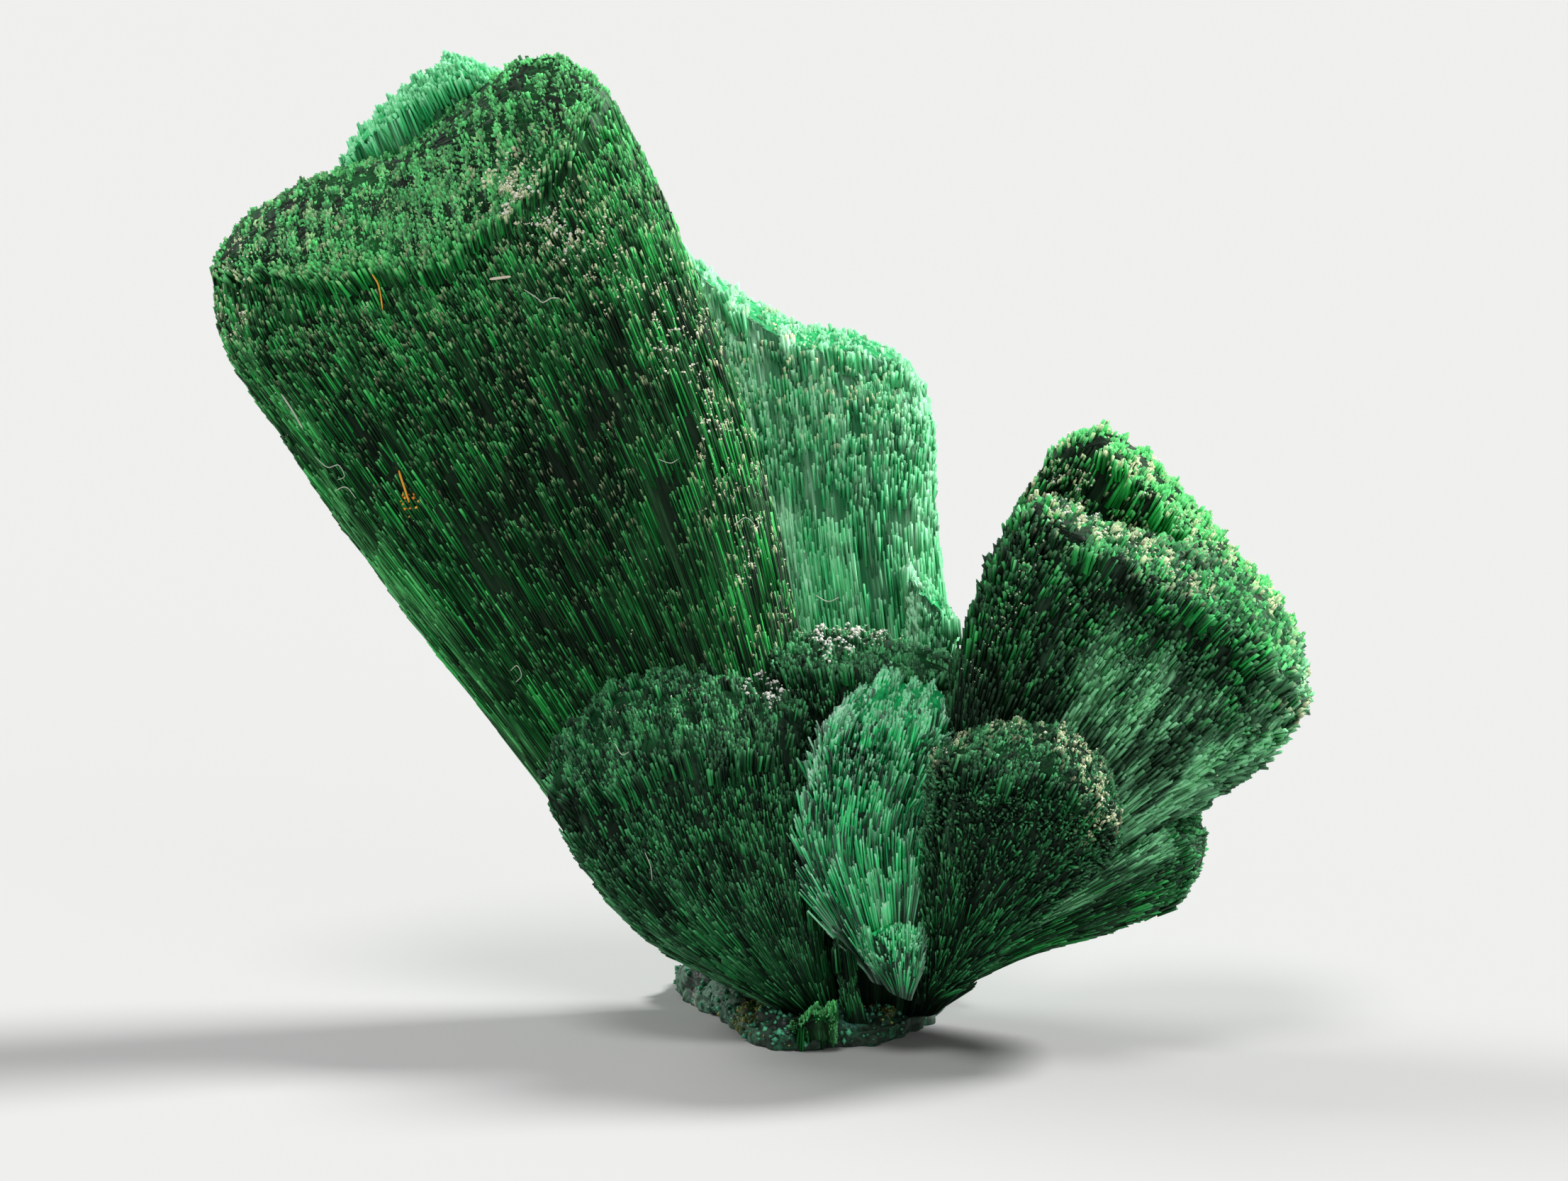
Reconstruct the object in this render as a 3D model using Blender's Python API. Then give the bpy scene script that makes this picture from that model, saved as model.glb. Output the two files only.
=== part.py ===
"""Fibrous malachite: sheaves of fine needles that fan up out of a small dark matrix foot.

Metres, +Z up. +X is to the right as the specimen is looked at, and +Y is away from the viewer. The origin
is in the flat cut under the foot, on which the specimen rests.

Each sheaf is a loft. A station gives the sheaf's left edge, right edge, depth and thickness at one distance
from its root. The needles run from station to station, and their ends make the crest on the last one.
"""

import bmesh
import bpy
import numpy as np

MM = 0.001
GAP = 0.3
FLUTE_DEPTH = 0.5
FLUTE_GROOVE = 0.6
FLUTE_STEP = 0.6
FLUTE_UNEVENNESS = 0.3
DEEPEST_FLUTE = 0.3
SHORT_ENDS = (0.35, 1.3)
ROOT_RELIEF = 0.25
RELIEF_GAIN = 1.5
TIP_JITTER = 0.4
CREST_SHARES = (1, 0.84, 0.62, 0.34)

# A sheaf's section, as corners across (-1 left, 1 right) and in depth (-1 near the viewer, 1 far).
RIDGED = ((-1, 0.4), (-0.97, -0.4), (-0.55, -0.85), (0.2, -1), (0.75, -1), (1, -0.3), (0.95, 0.9), (-0.8, 1))
SLAB = ((-1, 0), (-0.85, -0.75), (-0.2, -1), (0.5, -0.95), (0.95, -0.5), (1, 0.3), (0.7, 1), (-0.7, 1))
LENS = ((-1, 0.2), (-0.75, -0.8), (0, -1), (0.75, -0.8), (1, 0.2), (0.6, 0.9), (-0.6, 0.9))
BLOCK = ((-1, -0.3), (-0.8, -0.95), (0.1, -1), (0.85, -0.95), (1, 0), (0.85, 0.9), (0, 1), (-0.85, 0.8))

# Each station in millimetres: left edge x and z, right edge x and z, depth y, half the thickness.
# The crest is the needle ends' height above the last station, at places across the near, middle and far face.
MAIN_FRONT = {
    "stations": (
        (-3.2, 0.6, 1.8, 0.8, 0.0, 2.5),
        (-9.6, 3.4, 0.9, 7.4, 0.6, 3.8),
        (-14.8, 7.8, 0.1, 14.2, 1.2, 4.5),
        (-23.1, 19.2, -2.3, 28.2, 1.8, 5.0),
        (-31.7, 30.3, -5.5, 41.9, 2.2, 5.2),
        (-39.7, 42.0, -10.2, 54.9, 2.6, 5.2),
        (-43.4, 48.2, -12.9, 61.0, 2.8, 5.2),
        (-44.3, 54.0, -16.0, 67.0, 3.0, 5.0),
    ),
    "section": RIDGED,
    "crest_places": (-1, -0.8, -0.5, 0, 0.3, 0.65, 0.85, 1),
    "crest": (
        (-4.6, -4.2, -4.6, -5.6, -4.4, -3.4, -3.6, -4.8),
        (0.2, 2.0, 2.4, 1.4, 2.8, 4.0, 3.2, 0.0),
        (-0.6, 1.2, 1.6, 0.4, 1.6, 2.6, 1.8, -0.8),
    ),
    "columns": 36,
    "rows": 11,
    "seed": 11,
}
MAIN_REAR = {
    "stations": (
        (-1.5, 0.6, 1.8, 0.8, 3.0, 2.0),
        (-6.0, 3.2, 1.1, 6.6, 4.4, 2.8),
        (-9.9, 8.3, 0.3, 13.3, 5.4, 3.2),
        (-16.5, 21.1, -2.2, 27.2, 6.4, 3.6),
        (-24.6, 33.3, -5.6, 41.0, 7.2, 3.8),
        (-31.2, 47.0, -10.3, 54.2, 7.8, 3.8),
        (-35.9, 61.2, -17.0, 66.2, 8.2, 3.6),
    ),
    "section": SLAB,
    "crest_places": (-1, -0.7, -0.2, 0.15, 0.5, 1),
    "crest": (
        (-0.6, 1.4, 3.6, 4.6, 2.0, -0.8),
        (0.2, 2.4, 4.6, 5.6, 3.0, -0.4),
        (-1.6, 0.2, 2.2, 3.0, 0.6, -2.0),
    ),
    "columns": 22,
    "rows": 8,
    "seed": 12,
}
REAR = {
    "stations": (
        (-1.5, 0.6, 3.1, 0.6, 3.0, 2.5),
        (-5.0, 7.6, 7.4, 10.2, 5.0, 4.3),
        (-8.1, 21.8, 8.7, 23.8, 7.0, 5.2),
        (-9.8, 34.8, 7.6, 33.8, 8.8, 5.2),
        (-11.1, 45.9, 7.2, 41.8, 10.2, 5.0),
        (-12.1, 55.5, 6.0, 46.8, 11.0, 4.4),
    ),
    "section": SLAB,
    "crest_places": (-1, -0.5, 0, 0.5, 0.8, 1),
    "crest": (
        (-0.6, -2.2, -2.8, -1.2, -1.6, -2.6),
        (0.4, -1.2, -1.8, -0.2, -0.4, -1.6),
        (-1.6, -2.6, -3.4, -2.0, -2.4, -3.4),
    ),
    "columns": 26,
    "rows": 8,
    "seed": 21,
}
REAR_SHARD = {
    "stations": (
        (4.4, 19.8, 8.8, 19.8, 3.8, 2.2),
        (4.6, 25.9, 9.0, 25.9, 3.8, 2.5),
        (4.8, 32.6, 8.6, 29.6, 4.2, 2.0),
    ),
    "section": LENS,
    "crest_places": (-1, 0, 1),
    "crest": ((0.0, 0.2, -0.8), (0.8, 0.6, -0.2), (0.0, 0.0, -0.8)),
    "columns": 12,
    "rows": 4,
    "seed": 22,
}
NOTCH = {
    "stations": (
        (0.0, 1.2, 5.6, 1.2, -1.0, 2.0),
        (-2.5, 10.4, 8.1, 10.4, -1.5, 3.2),
        (-4.3, 21.7, 8.6, 21.2, -1.6, 3.8),
        (-5.4, 28.2, 8.6, 27.4, -1.6, 4.0),
    ),
    "section": BLOCK,
    "crest_places": (-1, -0.6, 0, 0.5, 1),
    "crest": ((-1.4, -0.8, -0.4, -0.8, -1.2), (-0.2, 0.8, 1.2, 0.6, 0.0), (-0.4, 0.6, 1.0, 0.4, -0.2)),
    "columns": 20,
    "rows": 6,
    "seed": 31,
}
LOWER_LEFT = {
    "stations": (
        (-3.8, 1.5, 0.5, 1.7, -4.0, 2.0),
        (-8.0, 3.8, -0.1, 6.0, -4.5, 3.0),
        (-13.8, 7.4, -0.4, 12.2, -5.0, 3.8),
        (-18.2, 12.6, -1.0, 18.3, -5.0, 4.0),
        (-21.4, 19.0, -1.8, 25.1, -4.8, 3.6),
    ),
    "section": SLAB,
    "crest_places": (-1, -0.7, -0.3, 0.1, 0.5, 0.85, 1),
    "crest": (
        (-3.4, -1.8, -0.6, -0.8, -2.2, -3.6, -4.4),
        (-0.2, 2.6, 4.6, 4.6, 2.8, 1.0, -0.6),
        (-0.6, 2.0, 4.0, 4.0, 2.4, 0.6, -1.0),
    ),
    "columns": 28,
    "rows": 8,
    "seed": 41,
}
FAN_CUP = {
    "stations": (
        (3.2, 4.3, 5.6, 3.6, -8.0, 1.2),
        (1.4, 7.2, 6.7, 7.4, -8.7, 2.4),
        (0.8, 10.0, 7.0, 10.0, -8.7, 2.2),
    ),
    "section": LENS,
    "crest_places": (-1, 0, 1),
    "crest": ((-0.6, 0.4, -0.6), (0.0, 1.0, 0.0), (0.0, 1.0, 0.0)),
    "columns": 14,
    "rows": 5,
    "seed": 51,
}
FAN = {
    "stations": (
        (2.0, 4.8, 5.4, 4.5, -7.0, 1.4),
        (-1.2, 9.8, 6.8, 10.9, -8.0, 2.4),
        (-2.8, 14.9, 6.8, 15.4, -8.0, 2.6),
        (-2.0, 19.9, 7.6, 20.4, -7.5, 2.5),
        (-0.4, 24.2, 8.2, 24.8, -6.5, 2.2),
    ),
    "section": LENS,
    "crest_places": (-1, -0.7, -0.2, 0.2, 0.6, 1),
    "crest": (
        (-2.6, -1.0, 0.4, -0.6, -0.6, -2.0),
        (-0.2, 1.6, 3.2, 1.8, 1.8, 0.4),
        (-0.6, 1.2, 2.8, 1.4, 1.4, 0.0),
    ),
    "columns": 22,
    "rows": 9,
    "seed": 52,
}
RIGHT_FRONT = {
    "stations": (
        (4.6, 1.2, 7.6, 1.2, -1.6, 1.9),
        (5.7, 10.2, 12.6, 6.5, -3.4, 3.4),
        (6.9, 19.1, 18.2, 11.6, -4.6, 4.4),
        (8.0, 27.1, 24.3, 16.2, -5.9, 4.9),
        (10.4, 34.4, 29.6, 20.2, -6.9, 4.9),
        (13.5, 39.7, 33.7, 25.5, -7.4, 4.6),
    ),
    "section": BLOCK,
    "crest_places": (-1, -0.75, -0.5, 0, 0.5, 0.8, 1),
    "crest": (
        (-0.4, 0.0, 0.4, 1.4, 1.4, 0.2, -1.6),
        (0.6, 1.2, 1.8, 3.8, 3.8, 2.0, -0.2),
        (0.0, 0.6, 1.2, 3.4, 3.4, 1.6, -0.8),
    ),
    "columns": 30,
    "rows": 10,
    "seed": 61,
}
RIGHT_REAR = {
    "stations": (
        (4.8, 1.2, 7.4, 1.2, 0.0, 1.5),
        (6.2, 10.4, 12.4, 6.7, 0.2, 2.6),
        (7.6, 19.2, 18.0, 12.0, 0.2, 3.2),
        (8.6, 27.4, 24.3, 16.8, 0.2, 3.8),
        (11.2, 35.0, 29.8, 21.0, 0.2, 4.0),
        (14.2, 40.4, 33.9, 26.4, 0.0, 4.1),
    ),
    "section": SLAB,
    "crest_places": (-1, -0.8, -0.45, -0.1, 0.25, 0.5, 0.85, 1),
    "crest": (
        (1.0, 3.6, 3.8, 3.0, 2.4, 2.2, 0.2, -1.6),
        (2.4, 5.6, 5.8, 4.8, 3.8, 3.4, 1.4, -0.6),
        (0.8, 3.8, 4.0, 3.2, 2.4, 2.0, 0.2, -1.6),
    ),
    "columns": 22,
    "rows": 7,
    "seed": 62,
}
LOBE = {
    "stations": (
        (5.3, 3.0, 7.5, 2.8, -6.0, 1.5),
        (5.7, 8.9, 11.4, 6.7, -8.5, 3.0),
        (5.8, 15.1, 15.4, 11.0, -11.0, 4.0),
        (6.0, 20.2, 18.8, 14.8, -13.0, 4.3),
        (7.0, 23.6, 20.2, 17.4, -14.2, 4.0),
    ),
    "section": LENS,
    "crest_places": (-1, -0.5, 0, 0.5, 0.85, 1),
    "crest": (
        (-2.4, 0.2, 1.8, 1.6, -0.6, -2.4),
        (-0.4, 3.4, 5.0, 4.0, 1.2, -0.8),
        (-1.0, 2.6, 4.4, 3.2, 0.4, -1.8),
    ),
    "columns": 26,
    "rows": 8,
    "seed": 71,
}
LOWER_RIGHT = {
    "stations": (
        (5.1, 2.3, 7.6, 1.6, 0.0, 2.0),
        (11.1, 8.5, 12.8, 5.4, -2.0, 4.2),
        (16.5, 12.8, 18.4, 7.6, -4.0, 5.4),
        (21.6, 16.4, 22.9, 9.8, -5.6, 5.8),
        (24.2, 17.5, 25.0, 11.6, -6.4, 5.4),
    ),
    "section": BLOCK,
    "crest_places": (-1, -0.5, 0, 0.5, 1),
    "crest": ((-1.8, 0.2, 0.8, 0.2, -1.8), (-0.6, 1.4, 2.0, 1.4, -0.6), (-2.0, 0.0, 0.6, 0.0, -2.0)),
    "columns": 24,
    "rows": 7,
    "seed": 81,
}
STUB = {
    "stations": (
        (0.2, 1.6, 2.6, 1.6, -6.4, 0.9),
        (-0.2, 5.0, 1.6, 5.4, -7.6, 1.0),
        (-0.4, 8.6, 1.0, 8.8, -8.6, 0.7),
    ),
    "section": LENS,
    "crest_places": (-1, 0, 1),
    "crest": ((-0.8, 0.0, -0.8), (-0.2, 0.8, -0.2), (-0.4, 0.4, -0.4)),
    "columns": 10,
    "rows": 4,
    "seed": 91,
}
SHARD = {
    "stations": (
        (-3.4, 1.0, 0.4, 0.4, -7.6, 0.8),
        (-3.6, 1.9, 0.4, 2.2, -8.2, 1.2),
        (-3.2, 2.8, 0.2, 4.0, -8.4, 0.9),
    ),
    "section": LENS,
    "crest_places": (-1, 0, 1),
    "crest": ((-0.3, 0.1, -0.2), (0.0, 0.4, 0.2), (-0.2, 0.2, 0.0)),
    "columns": 12,
    "rows": 4,
    "seed": 92,
}

# The foot's outline on the ground in millimetres, x and y, anticlockwise from its front.
FOOT_OUTLINE = (
    (-4.0, -8.2),
    (-0.6, -6.4),
    (3.3, -6.8),
    (6.4, -0.6),
    (8.6, 5.0),
    (8.4, 10.5),
    (3.0, 14.0),
    (-4.0, 14.8),
    (-9.6, 13.0),
    (-11.3, 8.8),
    (-8.9, 4.0),
    (-7.2, 0.2),
    (-6.0, -4.2),
)
FOOT_TOP = 2.3
FOOT_COLUMNS = 34
FOOT_RINGS = 7
FOOT_INNERMOST = 0.12
RIM_FLARE = 0.03
RIM_SHARE = 0.9
RIM_DROP = 0.45
# Rounded bumps on the foot in millimetres: x, y, radius, height.
FOOT_BUMPS = (
    (-9.0, 8.0, 2.8, 1.3),
    (-6.8, 4.4, 2.4, 1.0),
    (-8.4, 11.4, 2.6, 0.9),
    (-5.2, -1.6, 2.2, 0.5),
    (-3.8, -5.4, 2.0, 0.4),
    (5.6, 7.6, 2.8, 0.8),
    (-0.6, 8.4, 6.6, 2.6),
    (1.6, 11.4, 2.8, 0.9),
    (-3.4, 12.2, 2.4, 0.8),
    (1.4, -4.8, 2.0, 0.3),
)

SHEAF_ROUGHNESS = 0.5
MATRIX_ROUGHNESS = 0.85
BODY_GREEN = (0.012, 0.10, 0.035, 1)
PALE_GREEN = (0.10, 0.42, 0.20, 1)
MATRIX_BROWN = (0.022, 0.030, 0.018, 1)


def clear_scene():
    for item in list(bpy.data.objects):
        bpy.data.objects.remove(item)


def curve_through(points, count):
    """Catmull-Rom curve through the points, read at even steps of its parameter."""
    points = np.asarray(points, float)
    held = np.vstack([2 * points[0] - points[1], points, 2 * points[-1] - points[-2]])
    place = np.linspace(0, len(points) - 1, count)
    index = np.minimum(place.astype(int), len(points) - 2)
    u = (place - index)[:, None]
    a, b, c, d = (held[index + k] for k in range(4))
    bend = 2 * a - 5 * b + 4 * c - d
    twist = 3 * b - a - 3 * c + d
    return 0.5 * (2 * b + (c - a) * u + bend * u**2 + twist * u**3)


def rounded_outline(corners, count):
    """Closed cubic B-spline over the corners, stretched back to the corners' own extent."""
    corners = np.asarray(corners, float)
    place = np.linspace(0, len(corners), count, endpoint=False)
    index = place.astype(int)
    u = (place - index)[:, None]
    a, b, c, d = (corners[(index + k - 1) % len(corners)] for k in range(4))
    from_b = 3 * u**3 - 6 * u**2 + 4
    from_c = 1 + 3 * u * (1 + u - u**2)
    outline = ((1 - u) ** 3 * a + from_b * b + from_c * c + u**3 * d) / 6
    low, high = outline.min(axis=0), outline.max(axis=0)
    return 2 * (outline - low) / (high - low) - 1


def crest_height(sheaf, across, depth):
    """Height of the needle ends above the last station, on a parabola from the near to the far face."""
    near, middle, far = (np.interp(across, sheaf["crest_places"], row) for row in sheaf["crest"])
    return middle + (far - near) / 2 * depth + ((near + far) / 2 - middle) * depth**2


def flute_insets(rng, rows, columns):
    """How far each bundle of needles stands back, deeper where the bundle ends short of the crest."""
    height = np.linspace(0, 1, rows)[:, None]
    groove = np.where(np.arange(columns) % 2, FLUTE_GROOVE, 0) + rng.uniform(0, FLUTE_UNEVENNESS, columns)
    short_end = rng.uniform(*SHORT_ENDS, columns)
    relief = np.minimum(1, ROOT_RELIEF + height * RELIEF_GAIN)
    return FLUTE_DEPTH * relief * (groove + FLUTE_STEP * (height > short_end))


def sheaf_points(sheaf):
    """Rings of points up the sheaf and inwards over its crest, and the two closing points."""
    rng = np.random.default_rng(sheaf["seed"])
    stations = curve_through(sheaf["stations"], sheaf["rows"])
    left = stations[:, (0, 4, 1)]
    right = stations[:, (2, 4, 3)]
    middle = (left + right)[:, None] / 2
    half_width = (right - left)[:, None] / 2
    half_depth = stations[:, None, 5:6] * np.array((0, 1, 0))
    outline = rounded_outline(sheaf["section"], sheaf["columns"])
    across, depth = outline[:, 0:1], outline[:, 1:2]
    reach = half_width * across + half_depth * depth
    inset = flute_insets(rng, sheaf["rows"], sheaf["columns"])[:, :, None]
    inset_share = np.minimum(inset / np.linalg.norm(reach, axis=2, keepdims=True), DEEPEST_FLUTE)
    wall = middle + reach * (1 - inset_share)

    growth = wall[-1] - wall[-2]
    growth /= np.linalg.norm(growth, axis=1, keepdims=True)
    rings = list(wall[:-1])
    for share in CREST_SHARES:
        jitter = rng.uniform(-TIP_JITTER, TIP_JITTER, (sheaf["columns"], 1))
        rise = crest_height(sheaf, across * share, depth * share) + jitter
        rings.append(middle[-1] + (wall[-1] - middle[-1]) * share + growth * rise)
    top = middle[-1, 0] + growth.mean(axis=0) * crest_height(sheaf, 0, 0)
    return np.array(rings) * MM, middle[0, 0] * MM, top * MM


def closed_mesh(name, rings, bottom, top):
    """Mesh over rings of points, closed by a fan to one point at each end."""
    rows, columns = rings.shape[:2]
    points = np.vstack([rings.reshape(-1, 3), bottom, top])
    row, column = np.mgrid[0 : rows - 1, 0:columns]
    after = (column + 1) % columns
    below, above = row * columns, (row + 1) * columns
    quads = np.stack([below + column, below + after, above + after, above + column], axis=2).reshape(-1, 4)
    around = np.arange(columns)
    onward = (around + 1) % columns
    last = (rows - 1) * columns
    low_fan = np.stack([onward, around, np.full(columns, rows * columns)], axis=1)
    high_fan = np.stack([last + around, last + onward, np.full(columns, rows * columns + 1)], axis=1)
    mesh = bpy.data.meshes.new(name)
    mesh.from_pydata(points.tolist(), [], quads.tolist() + low_fan.tolist() + high_fan.tolist())
    facing_out = bmesh.new()
    facing_out.from_mesh(mesh)
    bmesh.ops.recalc_face_normals(facing_out, faces=facing_out.faces)
    facing_out.to_mesh(mesh)
    facing_out.free()
    return mesh


def add_object(name, mesh):
    piece = bpy.data.objects.new(name, mesh)
    bpy.context.scene.collection.objects.link(piece)
    return piece


def add_sheaf(name, loft):
    return add_object(name, closed_mesh(name, *sheaf_points(loft)))


def add_foot(name):
    """Low lump of matrix: a flat cut below, a steep rim, and a top raised by rounded bumps."""
    outline = rounded_outline(FOOT_OUTLINE, FOOT_COLUMNS)
    corners = np.array(FOOT_OUTLINE, float)
    low, high = corners.min(axis=0), corners.max(axis=0)
    outline = low + (outline + 1) / 2 * (high - low)
    centre = outline.mean(axis=0)
    rings = [np.column_stack([outline, np.zeros(FOOT_COLUMNS)])]
    for share in np.linspace(1, FOOT_INNERMOST, FOOT_RINGS):
        flat = centre + (outline - centre) * (share + RIM_FLARE * (share > RIM_SHARE))
        lift = np.full(FOOT_COLUMNS, FOOT_TOP * (1 - RIM_DROP * share**6))
        for x, y, radius, height in FOOT_BUMPS:
            away = np.hypot(flat[:, 0] - x, flat[:, 1] - y) / radius
            lift += height * np.sqrt(np.clip(1 - away**2, 0, None))
        rings.append(np.column_stack([flat, lift]))
    bottom = np.array((*centre, 0))
    top = np.array((*centre, rings[-1][:, 2].mean()))
    return add_object(name, closed_mesh(name, np.array(rings) * MM, bottom * MM, top * MM))


def grown_copy(piece, by):
    """Hidden cutter: the piece with its surface moved out along its normals."""
    mesh = piece.data.copy()
    shape = bmesh.new()
    shape.from_mesh(mesh)
    shape.normal_update()
    for vertex in shape.verts:
        vertex.co += vertex.normal * by
    shape.to_mesh(mesh)
    shape.free()
    cutter = add_object(piece.name + "_clearance", mesh)
    cutter.hide_render = True
    cutter.display_type = "WIRE"
    return cutter


def keep_largest_body(piece):
    """Removes the chips that a cut leaves, also a folded sliver that hangs from one edge of the piece."""
    shape = bmesh.new()
    shape.from_mesh(piece.data)
    bmesh.ops.triangulate(shape, faces=shape.faces)
    unseen = set(shape.faces)
    bodies = []
    while unseen:
        body = {unseen.pop()}
        front = list(body)
        while front:
            seams = [edge for face in front for edge in face.edges if len(edge.link_faces) == 2]
            front = list({face for edge in seams for face in edge.link_faces} - body)
            body.update(front)
        unseen -= body
        bodies.append(body)
    bodies.sort(key=len)
    bmesh.ops.delete(shape, geom=[face for body in bodies[:-1] for face in body], context="FACES")
    shape.to_mesh(piece.data)
    shape.free()


def apply_boolean(piece, other, operation):
    boolean = piece.modifiers.new(operation.title(), "BOOLEAN")
    boolean.operation = operation
    boolean.object = other
    # A thin piece's clearance can fold over itself, which only this option reads rightly.
    boolean.use_self = True
    graph = bpy.context.evaluated_depsgraph_get()
    result = bpy.data.meshes.new_from_object(piece.evaluated_get(graph))
    piece.modifiers.clear()
    piece.data = result
    result.name = piece.name
    keep_largest_body(piece)


def add_material(piece, colour, roughness):
    material = bpy.data.materials.new(piece.name)
    material.use_nodes = True
    shader = material.node_tree.nodes["Principled BSDF"]
    shader.inputs["Base Color"].default_value = colour
    shader.inputs["Roughness"].default_value = roughness
    shader.inputs["Metallic"].default_value = 0.0
    material.diffuse_color = colour
    piece.data.materials.clear()
    piece.data.materials.append(material)


def add_grown_piece(name, lofts, earlier):
    """One sheaf of one or more fused lofts, cut back where earlier pieces already stand."""
    solids = [add_sheaf(name, loft) for loft in lofts]
    clearances = [grown_copy(solid, GAP * MM) for solid in solids]
    piece = solids[0]
    for other in solids[1:]:
        apply_boolean(piece, other, "UNION")
        bpy.data.objects.remove(other)
    for cutter in earlier:
        apply_boolean(piece, cutter, "DIFFERENCE")
    return piece, clearances


def build():
    clear_scene()
    foot = add_foot("matrix_foot")
    add_material(foot, MATRIX_BROWN, MATRIX_ROUGHNESS)
    # Where two sheaves grew into each other, the one listed first keeps its form.
    earlier = [grown_copy(foot, GAP * MM)]
    for name, lofts, colour in (
        ("centre_fan", (FAN, FAN_CUP), PALE_GREEN),
        ("fibre_stub", (STUB,), BODY_GREEN),
        ("base_shard", (SHARD,), PALE_GREEN),
        ("front_right_lobe", (LOBE,), BODY_GREEN),
        ("lower_left_sheaf", (LOWER_LEFT,), BODY_GREEN),
        ("lower_right_sheaf", (LOWER_RIGHT,), BODY_GREEN),
        ("right_sheaf", (RIGHT_FRONT, RIGHT_REAR), BODY_GREEN),
        ("notch_sheaf", (NOTCH,), BODY_GREEN),
        ("main_sheaf", (MAIN_FRONT, MAIN_REAR), BODY_GREEN),
        ("rear_sheaf", (REAR, REAR_SHARD), PALE_GREEN),
    ):
        piece, clearances = add_grown_piece(name, lofts, earlier)
        add_material(piece, colour, SHEAF_ROUGHNESS)
        earlier += clearances
    for cutter in earlier:
        bpy.data.objects.remove(cutter)


build()
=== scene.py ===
# %% [markdown]
# # A specimen of fibrous malachite
# Malachite often grows as sheaves of hair-thin needles that fan out of one root. From a step away the eye
# reads a few blocky sheaves. From close by it reads thousands of broken needle ends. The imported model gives
# the sheaves as plain solids. This script dresses each one in real needles, as mesh.

# %% Load the frame
import math

import bpy
import numpy as np
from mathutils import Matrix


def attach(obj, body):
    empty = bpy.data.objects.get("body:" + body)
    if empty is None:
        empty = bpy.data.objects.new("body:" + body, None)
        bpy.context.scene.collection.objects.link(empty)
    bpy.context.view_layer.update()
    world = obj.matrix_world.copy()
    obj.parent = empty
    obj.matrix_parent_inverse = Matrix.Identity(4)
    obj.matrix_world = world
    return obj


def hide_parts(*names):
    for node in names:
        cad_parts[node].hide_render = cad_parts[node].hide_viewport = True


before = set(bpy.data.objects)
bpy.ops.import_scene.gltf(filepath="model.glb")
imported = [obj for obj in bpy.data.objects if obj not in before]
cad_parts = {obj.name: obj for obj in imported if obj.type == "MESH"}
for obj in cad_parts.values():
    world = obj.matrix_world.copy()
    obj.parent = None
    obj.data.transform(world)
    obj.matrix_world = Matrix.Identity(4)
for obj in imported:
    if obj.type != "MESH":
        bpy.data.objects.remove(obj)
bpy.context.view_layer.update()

MM = 0.001
print("solids:", sorted(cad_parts))

# %% [markdown]
# ## Camera
# The specimen was taken from the front and a little from above, from far enough away that its edges hardly
# converge. A long lens does the same here. Every size below is in millimetres, and MM turns it into metres.
# The Standard view keeps deep greens deep, where Blender's default view would wash them out.

# %% Camera
VIEW_WIDTH = 110.6
CAMERA_TILT = math.radians(10)
CAMERA_DISTANCE = 461.0
AIM = (-3.7, 0.0, 31.4)

camera_data = bpy.data.cameras.new("camera")
camera_data.sensor_width = 36.0
camera_data.lens = camera_data.sensor_width * CAMERA_DISTANCE / VIEW_WIDTH
camera_data.clip_start = 0.01
camera = bpy.data.objects.new("camera", camera_data)
bpy.context.scene.collection.objects.link(camera)
camera.location = (
    AIM[0] * MM,
    (AIM[1] - CAMERA_DISTANCE * math.cos(CAMERA_TILT)) * MM,
    (AIM[2] + CAMERA_DISTANCE * math.sin(CAMERA_TILT)) * MM,
)
camera.rotation_euler = (math.pi / 2 - CAMERA_TILT, 0, 0)
bpy.context.scene.camera = camera
bpy.context.scene.view_settings.view_transform = "Standard"
print("lens", round(camera_data.lens), "mm")

# %% [markdown]
# ## The form of a sheaf
# A sheaf is a bundle that widens from its root. It could be sculpted, but its needles have to follow it, so it
# is better worked out as a volume with three directions: across it, through its depth, and along its needles.
# Stations give the left edge, right edge, depth and half thickness at one height each, and a rounded outline
# gives the section. A needle is then a line along which only the height changes.

# %% Curves
def curve_through(points, place):
    """Catmull-Rom curve, where place counts points. Each span is a cubic whose slope at a point is half the
    step between that point's neighbours. Past the last point the curve runs straight on."""
    points = np.asarray(points, float)
    held = np.vstack([2 * points[0] - points[1], points, 2 * points[-1] - points[-2]])
    inside = np.clip(place, 0, len(points) - 1)
    index = np.minimum(inside.astype(int), len(points) - 2)
    u = (inside - index)[..., None]
    a, b, c, d = (held[index + k] for k in range(4))
    square, cube = 2 * a - 5 * b + 4 * c - d, 3 * b - a - 3 * c + d
    curve = 0.5 * (2 * b + (c - a) * u + square * u**2 + cube * u**3)
    return curve + (place - inside)[..., None] * (points[-1] - points[-2])


def closed_spline(corners, around):
    """Closed cubic B-spline, where around runs from 0 to 1. Each place is a mean of the four nearest corners,
    with weights that are cubics of the way between two corners and add up to one."""
    corners = np.asarray(corners, float)
    place = np.mod(around, 1) * len(corners)
    index = place.astype(int)
    u = (place - index)[..., None]
    a, b, c, d = (corners[(index + k - 1) % len(corners)] for k in range(4))
    return ((1 - u) ** 3 * a + (3 * u**3 - 6 * u**2 + 4) * b + (1 + 3 * u * (1 + u - u**2)) * c + u**3 * d) / 6


def smooth_step(low, high, value):
    """0 below low, 1 above high, and between them the S-curve 3 s squared less 2 s cubed of the share s."""
    share = np.clip((value - low) / (high - low), 0, 1)
    return share * share * (3 - 2 * share)


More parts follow.
